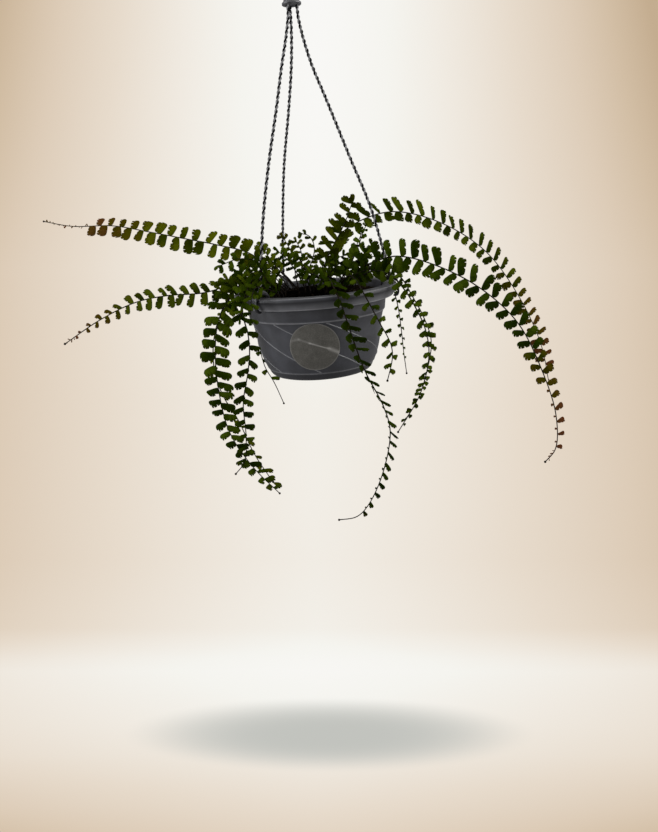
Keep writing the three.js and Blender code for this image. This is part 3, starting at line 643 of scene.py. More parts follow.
def buildClip(side, s):
    # a rounded oblong section between the two edges, carried from the foot to the claw
    outer, inner = smoothPath(s["outer"], 8), smoothPath(s["inner"], 8)
    middle, half = (outer + inner) / 2, (outer - inner) / 2
    wave = np.stack([np.cos(fullTurn(s["sides"])), np.sin(fullTurn(s["sides"]))])
    wide, tall = np.sign(wave) * np.abs(wave)**s["oblong"]
    shrink = np.ones((len(middle), 1))
    shrink[[0, -1]] = 0.7
    plane = middle[:, None] + half[:, None] * (tall * shrink)[..., None]
    turn = math.radians(clipAngles[side])
    out = np.array([math.cos(turn), math.sin(turn), 0])
    across = np.array([-math.sin(turn), math.cos(turn), 0])
    lift = np.array([0, 0, 1.0])

    def placed(flat, sideways):
        place = flat[..., :1] * out + sideways[..., None] * across + flat[..., 1:] * lift
        return place * mm + lift * rimHeight

    rings = placed(plane, wide * s["width"] / 2 * shrink)
    poles = placed(middle[[0, -1]], np.zeros(2))
    points, faces = tubes(rings[None, :, ::-1], poles[:1], poles[1:])
    clip = makePiece("clip_" + side + "Arch", points, faces, [clipPlastic], sharp=60)
    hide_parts("clip_" + side)


for side in clipAngles:
    buildClip(side, clipShape)
print("hanger and clips made")


# ---- soil ----
soilShape = {
    "edge": 9.5, "dome": 5, "spread": 83, "radius": 82.9, "rings": 84, "sectors": 340,
    # sizes and heights of the lumps, in mm
    "lumps": [(11, 2.6), (4.6, 1.9), (1.9, 1.2)],
    "side": [(82.6, 12), (79.7, 31), (74.2, 56), (69.7, 78), (62.3, 97.3)],
    # chips and fibres: how many, how far out they lie, and sizes as a least value and what chance adds
    "chips": 520, "chipReach": 80, "chipSize": (0.7, 2.3), "chipRough": 0.35, "chipLean": 1.1,
    "chipStretch": ((1, 0.9), (0.6, 0.4), (0.3, 0.35)),
    "fibres": 190, "fibreReach": 74, "fibreLong": (5, 12), "fibreThick": (0.16, 0.2), "fibreBend": 2.6,
}


def makeSoil():
    material, tree, shader = newMaterial("pottingMix", Specular_IOR_Level=0.0)
    tooth = addGroup(tree, grain, Fine_Scale=700, Slow_Scale=150)
    tone = readTone(tree)
    crumbs = addRamp(tree, tooth["Blotch"], [(0.3, (0.0003, 0.0002, 0.0002)),
                                             (0.62, (0.001, 0.0008, 0.0007)),
                                             (0.8, (0.004, 0.003, 0.0023))])
    chips = addRamp(tree, tone["Red"], [(0.0, (0.001, 0.0008, 0.0007)), (0.7, (0.004, 0.003, 0.002)),
                                        (1.0, (0.07, 0.055, 0.04))])
    colour = mixColours(tree, tone["Green"], crumbs, chips)
    # the side towards +x is browner, where fibres lie on top
    sideways = splitPlace(tree, readCoordinates(tree, "Object"))[0]
    colour = mixColours(tree, remap(tree, sideways, 0.03, 0.065, 0, 0.5), colour, (0.022, 0.015, 0.009))
    rough = remap(tree, tooth["Height"], 0.4, 0.7, 0.55, 0.95)
    dress(tree, shader, colour, rough, tooth["Height"], 0.7, 0.0006)
    return material


def valueNoise(x, y, size, seed):
    # random numbers on a square lattice, blended smoothly between its corners, from -0.5 to 0.5
    cells = 97
    table = np.random.default_rng(seed).random((cells, cells)) - 0.5
    gx, gy = x / size + 40, y / size + 40
    ix, iy = np.floor(gx).astype(int), np.floor(gy).astype(int)
    fx, fy = gx - ix, gy - iy
    fx, fy = fx * fx * (3 - 2 * fx), fy * fy * (3 - 2 * fy)
    a, b, c, d = (table[(ix + right) % cells, (iy + up) % cells] for up in (0, 1) for right in (0, 1))
    return (a * (1 - fx) + b * fx) * (1 - fy) + (c * (1 - fx) + d * fx) * fy


def soilHeight(x, y, s):
    # a low dome with lumps of three sizes, in mm below the rim as a negative height
    share = np.minimum(np.hypot(x, y) / s["spread"], 1)
    height = -s["edge"] + s["dome"] * (1 - share**2)
    for seed, (size, lift) in enumerate(s["lumps"]):
        height = height + lift * valueNoise(x, y, size, seed + 11)
    return height


def crumbTones(bright, each):
    # one tone for all the points of a chip or a fibre: how bright it is in red, and 1 in green
    tones = np.zeros((len(bright), 4))
    tones[:, 0], tones[:, 1], tones[:, 3] = bright, 1, 1
    return np.repeat(tones, each, axis=0)


def buildSoil(s):
    chance = np.random.default_rng(21).random
    # the body: a polar grid over the top, then straight down the pot's inside to its floor
    share = np.linspace(1, 0, s["rings"] + 1)[:-1, None]
    turn = fullTurn(s["sectors"])
    top = polar(s["radius"] * share, turn, 0.0)
    top[..., 2] = soilHeight(top[..., 0], top[..., 1], s)
    side = np.array(s["side"])[::-1, :, None]
    rings = np.concatenate([polar(side[:, 0], turn, -side[:, 1]), top])
    first = np.array([[0, 0, -s["side"][-1][1]]])
    last = np.array([[0, 0, float(soilHeight(np.zeros(1), np.zeros(1), s)[0])]])
    parts = [tubes(rings[None], first, last)]
    tones = [np.tile([0.0, 0.0, 0.0, 1.0], (len(parts[0][0]), 1))]

    # chips: flattened lumps half sunk in the top, each ring's points pushed in or out at random
    count, rows, columns = s["chips"], 4, 7
    far = s["chipReach"] * np.sqrt(chance(count))
    where = chance(count) * 2 * np.pi
    x, y = far * np.cos(where), far * np.sin(where)
    least, more = s["chipSize"]
    size = least + more * chance(count)**2.2
    lean = np.radians([28, 68, 112, 152])[:, None]
    ball = polar(np.sin(lean), fullTurn(columns), -np.cos(lean))
    stretch = [least + more * chance(count) for least, more in s["chipStretch"]]
    stretch = np.stack(stretch, -1) * size[:, None]
    rough = 1 + s["chipRough"] * (chance((count, rows, columns, 1)) - 0.5)
    shapes = ball[None] * rough * stretch[:, None, None]
    spin, lean = chance(count) * np.pi, (chance(count) - 0.5) * s["chipLean"]
    axisA = polar(np.cos(lean), spin, np.sin(lean))
    axisC = polar(-np.sin(lean), spin, np.cos(lean))
    axisB = np.cross(axisC, axisA)
    middle = np.stack([x, y, soilHeight(x, y, s) + 0.15 * size], -1)

    def placed(local):
        flat = local.reshape(count, -1, 3)
        return (flat[..., :1] * axisA[:, None] + flat[..., 1:2] * axisB[:, None]
                + flat[..., 2:] * axisC[:, None] + middle[:, None]).reshape(local.shape)

    poles = placed(stretch[:, None] * np.array([[0, 0, -1.0], [0, 0, 1.0]]))
    parts.append(tubes(placed(shapes), poles[:, 0], poles[:, 1]))
    right = np.clip((x + 15) / 90, 0, 1)
    bright = np.clip(chance(count)**3 * (0.45 + 0.55 * right), 0, 1)
    tones.append(crumbTones(bright, rows * columns + 2))

    # fibres: short arcs that lie on the lumps and dip into them at both ends
    count, rows, columns = s["fibres"], 9, 4
    far = s["fibreReach"] * np.sqrt(chance(count))
    where = chance(count) * 2 * np.pi
    t = np.linspace(-0.5, 0.5, rows)[None]
    heading, bend = chance((count, 1)) * 2 * np.pi, (chance((count, 1)) - 0.5) * s["fibreBend"]
    least, more = s["fibreLong"]
    length = least + more * chance((count, 1))
    x = (far * np.cos(where))[:, None] + length * t * np.cos(heading + bend * t)
    y = (far * np.sin(where))[:, None] + length * t * np.sin(heading + bend * t)
    lift = 0.9 - 7 * t**2 + chance((count, 1)) * 2.2 * (1 - 4 * t**2)
    centre = np.stack([x, y, soilHeight(x, y, s) + lift], -1)
    forward = unit(np.gradient(centre, axis=1))
    across = unit(np.cross(forward, np.array([0, 0, 1.0])))
    up = np.cross(across, forward)
    least, more = s["fibreThick"]
    thick = least + more * chance((count, 1, 1))
    rings = ringsRound(centre, up, across, thick, fullTurn(columns))
    parts.append(tubes(rings, centre[:, 0], centre[:, -1]))
    bright = np.clip(0.15 + 0.85 * chance(count) * (0.4 + 0.6 * np.clip(far / 70, 0, 1)), 0, 1)
    tones.append(crumbTones(bright, rows * columns + 2))

    points, faces = joinParts(parts)
    points = points * mm + np.array([0, 0, rimHeight])
    return makePiece("soilBed", points, faces, [makeSoil()], tone=np.concatenate(tones), sharp=70)


soil = buildSoil(soilShape)
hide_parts("soil")
print("soil made")


# ---- fronds ----
# root: where the stem leaves the soil. route: points that the rib passes, to the bud at its tip, in mm.
# bare: lengths without leaflets at the root and at the tip. sizes: leaflet lengths, evenly spaced from
# the first pair to the last. face: the way the blade looks. twist: the degrees that it turns about the
# rib, evenly spaced along it, or one number that turns to its opposite. brown: share of the length where
# it starts to age, and how far it gets. uneven: how much longer one side's leaflets are. oneSided: share
# of the length after which that side's are stunted.
fronds = {
    "frond_left_upper": {
        "root": (-34, 22), "face": (0.1, -1, 0.5), "twist": -7, "bare": (76, 82), "pairs": 14,
        "sizes": (18, 18.5, 13), "wide": 1.5, "lean": -8, "green": "olive", "light": 0.1,
        "brown": (0.4, 0.66), "remains": 16,
        "route": [(-44, 20, -386), (-57, 19, -373), (-79, 24, -355), (-119, 36, -342), (-158, 48, -332),
         (-209, 62, -319), (-260, 76, -307), (-319, 90, -303), (-361, 100, -293)],
    },
    "frond_left_lower": {
        "root": (-40, 4), "face": (0.1, -1, 0.55), "twist": 8, "bare": (66, 20), "pairs": 17,
        "sizes": (14, 16, 15, 11, 4), "green": "mid", "light": 0.25, "brown": (0.5, 0.72), "remains": 4,
        "route": [(-50, 2, -394), (-66, -6, -388), (-96, -18, -388), (-132, -32, -394),
         (-172, -48, -392), (-205, -62, -395), (-242, -80, -409), (-280, -98, -431)],
    },
    "frond_left_hanging": {
        "root": (-36, -12), "face": (-0.3, -1, 0.2), "twist": -15, "bare": (74, 16), "pairs": 21,
        "sizes": (20, 20, 11), "wide": 1.15, "brown": (0.85, 0.25),
        "route": [(-44, -15, -393), (-62, -24, -385), (-86, -34, -388), (-104, -46, -404),
         (-117, -50, -431), (-123, -50, -465), (-124, -44, -514), (-117, -36, -566),
         (-94, -30, -613), (-64, -24, -653)],
    },
    "frond_left_inner": {
        "root": (-36, -30), "face": (0.3, -1, 0), "twist": 18, "bare": (42, 22), "pairs": 16,
        "sizes": (12, 15, 13), "lean": 22,
        "route": [(-44, -36, -394), (-58, -46, -388), (-74, -57, -391), (-83, -65, -404),
         (-84, -71, -420), (-80, -76, -440), (-80, -78, -462), (-84, -78, -484),
         (-93, -74, -520), (-94, -70, -560), (-99, -66, -592), (-112, -64, -608)],
    },
    "frond_left_thin": {
        "root": (-46, 14), "face": (-0.4, -1, 0), "twist": -20, "bare": (96, 6), "pairs": 13,
        "sizes": (5, 6, 13), "green": "olive", "light": 0.2,
        "route": [(-56, 14, -394), (-75, 14, -389), (-95, 12, -394), (-109, 10, -411), (-127, 4, -443),
         (-134, 0, -485), (-127, -4, -524), (-109, -8, -560), (-93, -10, -604),
         (-72, -12, -643)],
    },
    "frond_left_back": {
        "root": (-28, 34), "face": (-0.4, -1, 0), "twist": -12, "bare": (110, 48), "pairs": 5,
        "sizes": (9, 11, 11),
        "route": [(-36, 42, -394), (-52, 60, -386), (-68, 74, -392), (-81, 81, -412), (-84, 80, -445),
         (-82, 75, -478), (-77, 74, -512), (-66, 73, -536), (-55, 72, -567)],
    },
    "frond_right_upper": {
        "root": (18, 20), "face": (0, -1, 0.5), "twist": -10, "bare": (60, 34), "pairs": 30,
        "sizes": (18, 19, 17.5, 15, 13), "wide": 1.1, "uneven": 0.3, "lean": -20, "green": "mid",
        "light": -0.12, "brown": (0.55, 0.8), "remains": 2,
        "route": [(19, 28, -392), (22, 39, -372), (33, 54, -348), (57, 66, -331), (110, 84, -319),
         (177, 102, -339), (241, 116, -385), (288, 124, -456), (316, 126, -527),
         (325, 126, -586)],
    },
    "frond_right_lower": {
        "root": (36, -6), "face": (-0.1, -1, 0.5), "twist": 10, "bare": (46, 26), "pairs": 26,
        "sizes": (21, 21, 18.5, 13, 7), "wide": 1.05, "uneven": 0.14, "oneSided": 0.82, "lean": -22,
        "light": -0.05, "brown": (0.6, 1.0), "remains": 4,
        "route": [(44, -14, -394), (56, -24, -381), (76, -32, -373), (98, -40, -369), (136, -56, -380),
         (184, -74, -409), (221, -90, -450), (243, -102, -507), (253, -108, -554),
         (250, -110, -591), (237, -110, -606)],
    },
    "frond_front_long": {
        "root": (12, -34), "face": (0.15, -1, 0), "twist": (-40, -5, 75, 50, 0), "bare": (50, 38),
        "pairs": 25, "sizes": (13, 12, 7), "wide": 1.05, "uneven": 0.25, "oneSided": 0.55, "lean": 22,
        "roll": 36, "light": -0.35, "brown": (0.9, 0.3),
        "route": [(13, -46, -393), (16, -68, -386), (20, -92, -392), (27, -108, -412), (33, -109, -436),
         (39, -106, -460), (48, -102, -490), (65, -96, -531), (71, -90, -562), (60, -82, -613),
         (40, -76, -654), (26, -74, -667), (4, -70, -671)],
    },
    "frond_front_short": {
        "root": (28, -28), "face": (0.4, -1, 0), "twist": 12, "bare": (40, 20), "pairs": 11,
        "sizes": (10, 10, 11),
        "route": [(33, -40, -393), (40, -62, -385), (46, -88, -389), (55, -101, -408), (67, -102, -435),
         (78, -97, -461), (79, -92, -478), (72, -86, -506)],
    },
    "frond_right_thin": {
        "root": (46, 26), "face": (0.5, -1, 0), "twist": 20, "bare": (60, 28), "pairs": 12,
        "sizes": (9, 8, 4),
        "route": [(56, 34, -393), (72, 46, -387), (90, 58, -395), (102, 68, -416), (109, 77, -445),
         (112, 80, -480), (113, 79, -510), (115, 78, -541)],
    },
    "frond_right_hanging": {
        "root": (44, -20), "face": (0.5, -1, 0), "twist": 17, "bare": (56, 18), "pairs": 18,
        "sizes": (12, 10, 7), "light": 0.2,
        "route": [(54, -26, -392), (70, -37, -384), (88, -49, -389), (101, -57, -405), (112, -62, -426),
         (122, -66, -454), (124, -66, -484), (112, -60, -530), (83, -52, -578)],
    },
    "frond_right_inner": {
        "root": (50, 6), "face": (0.3, -1, 0), "twist": 15, "bare": (62, 12), "pairs": 15,
        "sizes": (8, 10, 8), "brown": (0.9, 0.3),
        "route": [(60, 8, -393), (76, 8, -384), (94, 8, -386), (109, 9, -402), (120, 11, -424),
         (132, 13, -450), (141, 16, -482), (137, 16, -510), (119, 14, -558), (101, 12, -583)],
    },
    "frond_centre_upright": {
        "root": (6, 8), "face": (0.1, -1, 0.1), "twist": -7, "bare": (52, 2), "pairs": 7,
        "sizes": (15, 17, 14), "uneven": 0.28, "green": "olive", "light": -0.1, "brown": (0.95, 0.1),
        "route": [(10, 12, -390), (17, 13, -370), (28, 10, -351), (37, 6, -337), (46, 2, -320),
         (53, -2, -303)],
    },
    "sprout_upright": {
        "root": (-12, 24), "face": (0, -1, 0.4), "twist": -5, "bare": (38, 2), "pairs": 5,
        "sizes": (8, 9, 7), "green": "mid", "light": 0.2, "brown": (0.95, 0.1),
        "route": [(-8, 25, -385), (-1, 27, -371), (3, 27, -358), (2, 26, -347), (-3, 24, -339),
         (-11, 22, -336)],
    },
    "crown_left": {
        "root": (-24, 8), "face": (0, -1, 0.7), "twist": -5, "bare": (64, 4), "pairs": 5,
        "sizes": (11, 13, 12), "brown": (0.95, 0.1),
        "route": [(-33, 8, -388), (-49, 9, -374), (-69, 8, -364), (-92, 6, -360), (-114, 3, -366)],
    },
    "crown_right": {
        "root": (10, -8), "face": (0, -1, 0.8), "twist": 5, "bare": (26, 4), "pairs": 5,
        "sizes": (13, 15, 13), "brown": (0.95, 0.1),
        "route": [(16, -6, -391), (28, -2, -378), (46, 0, -369), (66, 0, -368), (84, 0, -374)],
    },
    "crown_front": {
        "root": (-20, -22), "face": (0.2, -1, 0.4), "twist": -6, "bare": (56, 3), "pairs": 5,
        "sizes": (9, 10, 9), "green": "mid", "light": 0.25, "brown": (0.95, 0.1),
        "route": [(-28, -30, -390), (-40, -38, -375), (-50, -42, -359), (-58, -42, -344)],
    },
    "crown_olive": {
        "root": (-22, 40), "face": (0, -1, 0.4), "twist": -6, "bare": (46, 3), "pairs": 5,
        "sizes": (9, 10, 8), "green": "olive", "brown": (0.8, 0.3),
        "route": [(-24, 42, -390), (-24, 44, -372), (-28, 42, -356), (-36, 40, -338)],
    },
    "sprout_pale": {
        "root": (34, 22), "face": (0.3, -1, 0), "twist": -6, "bare": (36, 2), "pairs": 5,
        "sizes": (9, 11, 8), "green": "pale", "brown": (0.95, 0.1),
        "route": [(42, 26, -388), (52, 30, -372), (60, 32, -356), (66, 33, -342)],
    },
    "frond_back_left": {
        "root": (-6, 42), "face": (-0.2, 1, 0.3), "twist": -12, "bare": (34, 12), "pairs": 6,
        "sizes": (13, 14, 8),
        "route": [(-8, 56, -389), (-12, 84, -380), (-16, 108, -390), (-17, 123, -418), (-15, 125, -450),
         (-12, 120, -492)],
    },
    "frond_back_middle": {
        "root": (14, 46), "face": (0.1, 1, 0.3), "twist": 10, "bare": (34, 12), "pairs": 6,
        "sizes": (13, 14, 8),
        "route": [(18, 58, -389), (24, 82, -380), (29, 104, -388), (32, 119, -414), (31, 122, -446),
         (27, 118, -486)],
    },
    "frond_back_right": {
        "root": (34, 44), "face": (0.6, 1, 0.3), "twist": -10, "bare": (34, 12), "pairs": 6,
        "sizes": (13, 13, 8),
        "route": [(42, 54, -389), (56, 76, -381), (70, 95, -390), (78, 106, -416), (79, 108, -448),
         (74, 103, -488)],
    },
}

leafFinish = {
    "vein": 0.8, "veinCount": 70, "bump": 0.35, "roughness": (0.5, 0.7), "specular": 0.0,
    "turning": (0.040, 0.028, 0.0012), "brown": (0.075, 0.024, 0.009), "spore": (0.010, 0.007, 0.001),
}
greens = {    # shaded, usual and sunlit colour of a leaflet
    "dark": [(0.0020, 0.0050, 0.0001), (0.0078, 0.0158, 0.0002), (0.032, 0.050, 0.0022)],
    "mid": [(0.0034, 0.0066, 0.0001), (0.0120, 0.0195, 0.0003), (0.042, 0.056, 0.0022)],
    "olive": [(0.0060, 0.0090, 0.0001), (0.0180, 0.0250, 0.0003), (0.048, 0.056, 0.0012)],
    "pale": [(0.008, 0.017, 0.0008), (0.022, 0.040, 0.0022), (0.050, 0.078, 0.0060)],
}


def makeRib():
    material, tree, shader = newMaterial("wiryRib", Roughness=0.4, Specular_IOR_Level=0.05)
    tooth = addGroup(tree, grain, Fine_Scale=1500, Slow_Scale=220)
    colour = addRamp(tree, tooth["Blotch"], [(0.35, (0.002, 0.0015, 0.001)), (0.7, (0.010, 0.006, 0.003))])
    dress(tree, shader, colour, None, tooth["Height"], 0.3, 0.0003)
    return material


def makeLeaf(name, colours, s):
    # the tone holds age in red, a random share of painted light and shade in green and the under side in
    # blue
    material, tree, shader = newMaterial("leaf" + name.capitalize(), Specular_IOR_Level=s["specular"])
    tone = readTone(tree)
    fan = addGroup(tree, veins, Count=s["veinCount"])
    tooth = addGroup(tree, grain, Fine_Scale=1100, Slow_Scale=170)
    share = compute(tree, "MULTIPLY_ADD", tooth["Blotch"], 0.7, tone["Green"])
    colour = addRamp(tree, compute(tree, "SUBTRACT", share, 0.3), list(zip((0.1, 0.5, 0.95), colours)))
    _, usual, sunlit = colours
    colour = mixColours(tree, compute(tree, "MULTIPLY", fan["Height"], 0.22), colour, sunlit)
    under = compute(tree, "MULTIPLY", tone["Blue"], 0.45)
    colour = mixColours(tree, under, colour, 0.5 * (np.array(usual) + sunlit))
    # spore cases: brown patches along the cut edge, on the under side only
    patch = compute(tree, "MULTIPLY", fan["Edge"], tone["Blue"])
    colour = mixColours(tree, compute(tree, "MULTIPLY", patch, 0.8), colour, s["spore"])
    # age, broken by blotches: a leaflet turns olive first and red-brown after that
    age = compute(tree, "MULTIPLY_ADD", tooth["Blotch"], 0.5, -0.25)
    age = remap(tree, compute(tree, "ADD", age, tone["Red"]), 0.35, 0.95, 0, 0.95)
    turned = compute(tree, "MULTIPLY", age, 2.0, clamp=True)
    withered = compute(tree, "MULTIPLY_ADD", age, 2.0, -1.0, clamp=True)
    colour = mixColours(tree, turned, colour, s["turning"])
    colour = mixColours(tree, withered, colour, s["brown"])
    rough = remap(tree, tooth["Blotch"], 0.3, 0.7, *s["roughness"])
    height = compute(tree, "MULTIPLY_ADD", fan["Height"], s["vein"], tooth["Height"])
    dress(tree, shader, colour, rough, height, s["bump"], 0.00025)
    return material


wiryRib = makeRib()
leafMaterials = {name: makeLeaf(name, colours, leafFinish) for name, colours in greens.items()}
leafletShape = {
    # lines across the blade, as shares of its length: the low edge's place along and across, the cut
    # edge's place along and across, and 1 where a cut between lobes ends. The cut edge runs round the end.
    "stations": [
        (0.00, -0.050, 0.00, 0.110, 0), (0.05, -0.075, 0.03, 0.200, 0), (0.12, -0.090, 0.09, 0.255, 0),
        (0.22, -0.100, 0.20, 0.285, 0), (0.32, -0.105, 0.33, 0.300, 0), (0.40, -0.108, 0.445, 0.305, 1),
        (0.43, -0.109, 0.475, 0.318, 0), (0.52, -0.110, 0.60, 0.328, 0), (0.60, -0.112, 0.705, 0.330, 0),
        (0.64, -0.112, 0.740, 0.318, 1), (0.67, -0.112, 0.775, 0.330, 0), (0.73, -0.110, 0.865, 0.304, 0),
        (0.78, -0.106, 0.918, 0.254, 0), (0.81, -0.101, 0.924, 0.214, 1), (0.84, -0.094, 0.964, 0.190, 0),
        (0.89, -0.076, 0.994, 0.100, 0), (0.93, -0.054, 0.992, 0.026, 0),
    ],
    "end": 0.972, "cut": 0.075, "thickness": 0.3, "stagger": 0.2, "slip": 0.12, "cup": 0.05,
    # lengths in mm, and how many times its usual breadth a leaflet of that length has
    "broad": ((4, 8, 14, 22), (1.9, 1.55, 1.2, 1.04)),
    # lengths in mm between which a leaflet changes from a fan with a narrow foot to an oblong one
    "fan": (6, 14), "narrow": 0.45,
    # a least value and what chance adds: share of the usual length and breadth, how far the end turns
    # sideways and droops; then what chance adds to the lean, and the lean that only the far side has
    "long": (0.9, 0.2), "breadth": (0.86, 0.28), "sickle": (-0.07, 0.2), "droop": (0.08, 0.14),
    "leanChance": 22, "leanFar": 3,
    # the length of a stunted leaflet, and the height and length of the cut edge's waves
    "stunted": 0.35, "flap": (0.03, 0.22),
    # what is left of leaflets on a bare tail: length and lean as above, and how narrow it is
    "remainsLong": (2.8, 3.2), "remainsLean": (20, 40), "remainsUneven": 1.9,
}
ribShape = {
    "foot": 0.95, "tip": 0.55, "sides": 7, "step": 3.0, "bud": 1.0,
    # depths below the rim that the stem passes, and how far before the tip the bud's rings lie
    "stem": (18.5, 4.5, 0.5), "budRings": (3.4, 2.6, 1.9, 1.2, 0.6, 0.2),
}
# the pot as leaves meet it: its radius and height, the plain wall's top and foot, and its mouth
potRoom = {
    "room": 2.0, "rim": 100, "height": 102, "top": 31, "foot": 92, "mouth": 78, "sill": 4.5,
    "tries": 12, "bud": 2.5, "shrink": 0.85,
}


def meetsPot(points):
    # true for points in the pot or its soil, or nearer to them than the room a leaf needs
    depth = rimHeight / mm - points[..., 2]
    radius = np.hypot(points[..., 0], points[..., 1])
    s, room = potRoom, potRoom["room"]
    near = (depth > -room) & (depth < s["height"] + room) & (radius < s["rim"] + room)
    outside = (depth > s["top"]) & (radius > wallRadius(np.clip(depth, s["top"], s["foot"])) + room)
    within = (radius < s["mouth"]) & (depth < s["sill"] - room)
    return near & ~outside & ~within


usualFrond = {
    "green": "dark", "brown": (0.9, 0.2), "lean": 14, "roll": 30, "wide": 1, "light": 0, "uneven": 0,
    "oneSided": 2, "remains": 0,
}


def buildFrond(name, given, seed):
    s, leaflet = {**usualFrond, **given}, leafletShape
    chance = np.random.default_rng(seed).random
    upright = [(*s["root"], rimHeight / mm - below) for below in ribShape["stem"]]
    path = smoothPath(np.array([*upright, *s["route"]], float))
    length, heading, face = walked(path)[-1], headings(path), unit(np.array(s["face"], float))
    twist = s["twist"] if isinstance(s["twist"], tuple) else (s["twist"], 0, -s["twist"])

    def frameAt(distance):
        # the place on the rib, its direction, the blade's side and the way the blade looks
        centre, forward = pick(path, distance), unit(pick(path, distance, heading))
        side = unit(np.cross(forward, face))
        turn = np.radians(np.interp(distance / length, np.linspace(0, 1, len(twist)), twist))[..., None]
        side = side * np.cos(turn) + np.cross(forward, side) * np.sin(turn)
        return centre, forward, side, np.cross(side, forward)

    # the rib: a round wire that thins towards a small bud
    at = np.linspace(0, length, int(length / ribShape["step"]))
    at = np.concatenate([at[:-2], length - np.array(ribShape["budRings"])])
    centre, forward, side, up = frameAt(at)
    size = ribShape["foot"] + (ribShape["tip"] - ribShape["foot"]) * at / length
    first, last = s["bare"]
    leafyTip = last <= 5
    if not leafyTip:
        size = size + ribShape["bud"] * np.exp(-((at - length + 1.5) / 0.9)**2)
    size[-1] *= 0.5
    rings = ringsRound(centre, up, side, size[:, None], fullTurn(ribShape["sides"]))
    rib = tubes(rings[None], centre[:1], pick(path, np.array([length])))

    # leaflets: both sides of every pair in whole arrays, one side a little further on than the other
    pairs = s["pairs"]
    pitch = (length - last - first) / (pairs - 1)
    share = np.repeat(np.arange(pairs) / (pairs - 1), 2)
    sign = np.tile([1.0, -1.0], pairs)
    place = first + share * (pairs - 1) * pitch - sign * leaflet["stagger"] * pitch
    place = place + leaflet["slip"] * pitch * (chance(2 * pairs) - 0.5)
    long = np.interp(share, np.linspace(0, 1, len(s["sizes"])), s["sizes"])
    least, most = leaflet["long"]
    long = long * (least + most * chance(2 * pairs))
    uneven = 1 - sign * s["uneven"] * (1 - share**2)
    long = long * uneven * np.where((share > s["oneSided"]) & (sign > 0), leaflet["stunted"], 1)
    lean = s["lean"] + leaflet["leanChance"] * (chance(2 * pairs) - 0.5)
    lean = lean + leaflet["leanFar"] * (sign > 0)
    if leafyTip:
        pairSet = place, long, sign, share, uneven, lean
        tip = length - 0.6, 0.8 * s["sizes"][2], 1, 1, 1, 84
        place, long, sign, share, uneven, lean = map(np.append, pairSet, tip)
    # what is left of leaflets along a bare tail: tiny and dry
    spare = s["remains"]
    fill = (np.arange(spare) + 0.2 + 0.6 * chance(spare)) / max(spare, 1)
    place = np.append(place, length - last + 6 + (last - 11) * fill)
    least, most = leaflet["remainsLong"]
    long = np.append(long, least + most * chance(spare)**2)
    sign = np.append(sign, np.where(chance(spare) < 0.5, 1.0, -1.0))
    share = np.append(share, np.ones(spare))
    uneven = np.append(uneven, np.full(spare, leaflet["remainsUneven"]))
    least, most = leaflet["remainsLean"]
    lean = np.radians(np.append(lean, least + most * chance(spare)))
    count = len(place)
    centre, forward, side, up = frameAt(place)
    # leaflets are shorter on the inner side of a bend
    after, before = frameAt(place + pitch / 2)[1], frameAt(np.maximum(place - pitch / 2, 0))[1]
    bend = np.sum((after - before) * side, -1) / pitch * sign
    room = np.maximum(1 - 0.39 * long / pitch, 0.1)
    long = np.where(bend > 1e-4, np.minimum(long, room / np.maximum(bend, 1e-4)), long)
    out = unit(side * (sign * np.cos(lean))[:, None] + forward * np.sin(lean)[:, None])
    across = unit(forward * np.cos(lean)[:, None] - side * (sign * np.sin(lean))[:, None])
    # each leaflet rolls a little about its own length
    roll = np.radians(s["roll"]) * (chance(count) - 0.5)[:, None]
    across, rise = across * np.cos(roll) + up * np.sin(roll), up * np.cos(roll) - across * np.sin(roll)
    ribThick = np.interp(place / length, [0, 1], [ribShape["foot"], ribShape["tip"]])
    centre = centre + up * ribThick[:, None] * 0.9

    lowX, low, highX, high, cut = np.array(leaflet["stations"]).T
    x = (lowX + highX) / 2
    # breadth: more for short leaflets, and each one's own share, with the outer half more or less flared
    broad = np.interp(long, *leaflet["broad"]) / uneven**1.4 * s["wide"]
    least, most = leaflet["breadth"]
    broad = (broad * (least + most * chance(count)))[:, None]
    broad = broad * (1 + (0.5 * chance((count, 1)) - 0.12) * (x - 0.5))
    broad = broad * (1 - np.interp(long, leaflet["fan"], (leaflet["narrow"], 0))[:, None] * (1 - x)**2)
    depth = leaflet["cut"] * (0.4 + 1.2 * chance((count, len(x)))) * cut
    least, most = leaflet["sickle"]
    sickle = (most * chance((count, 1)) + least) * x**2
    # a cut moves the cut edge's point towards the low edge's
    reach = np.hypot(highX - lowX, high - low)
    highX = highX - depth * (highX - lowX) / reach
    high = broad * (high - depth * (high - low) / reach) + sickle
    low = broad * low + sickle
    middle, middleX = low + (high - low) * 0.5, (highX + lowX) / 2
    least, most = leaflet["droop"]
    droop = least + most * chance((count, 1))
    cup = leaflet["cup"] * (chance((count, 1)) * 2 - 0.5)
    flap, wave = leaflet["flap"]
    flap = flap * np.sin(2 * np.pi * (x / wave + chance((count, 1))))
    body = np.clip((x - 0.02) / 0.12, 0, 1)
    thick = leaflet["thickness"] / 2 / long[:, None]
    # four points round each station: cut edge, top, low edge, under side
    ySet = np.stack([high, middle, low, middle], -1)
    xSet = np.stack([highX, middleX, lowX + 0 * highX, middleX], -1)
    lift = np.stack([(flap - cup) * body, thick + 0 * flap, -cup * body * 0.6, 0 * flap - thick], -1)
    zSet = lift - droop[..., None] * xSet**2

    def placed(xs, ys, zs, size):
        spread = (count,) + (1,) * (xs.ndim - 1)
        axes = [axis.reshape(*spread, 3) for axis in (out, across, rise)]
        shape = sum(v[..., None] * axis for v, axis in zip((xs, ys, zs), axes))
        return centre.reshape(*spread, 3) + size.reshape(*spread, 1) * shape

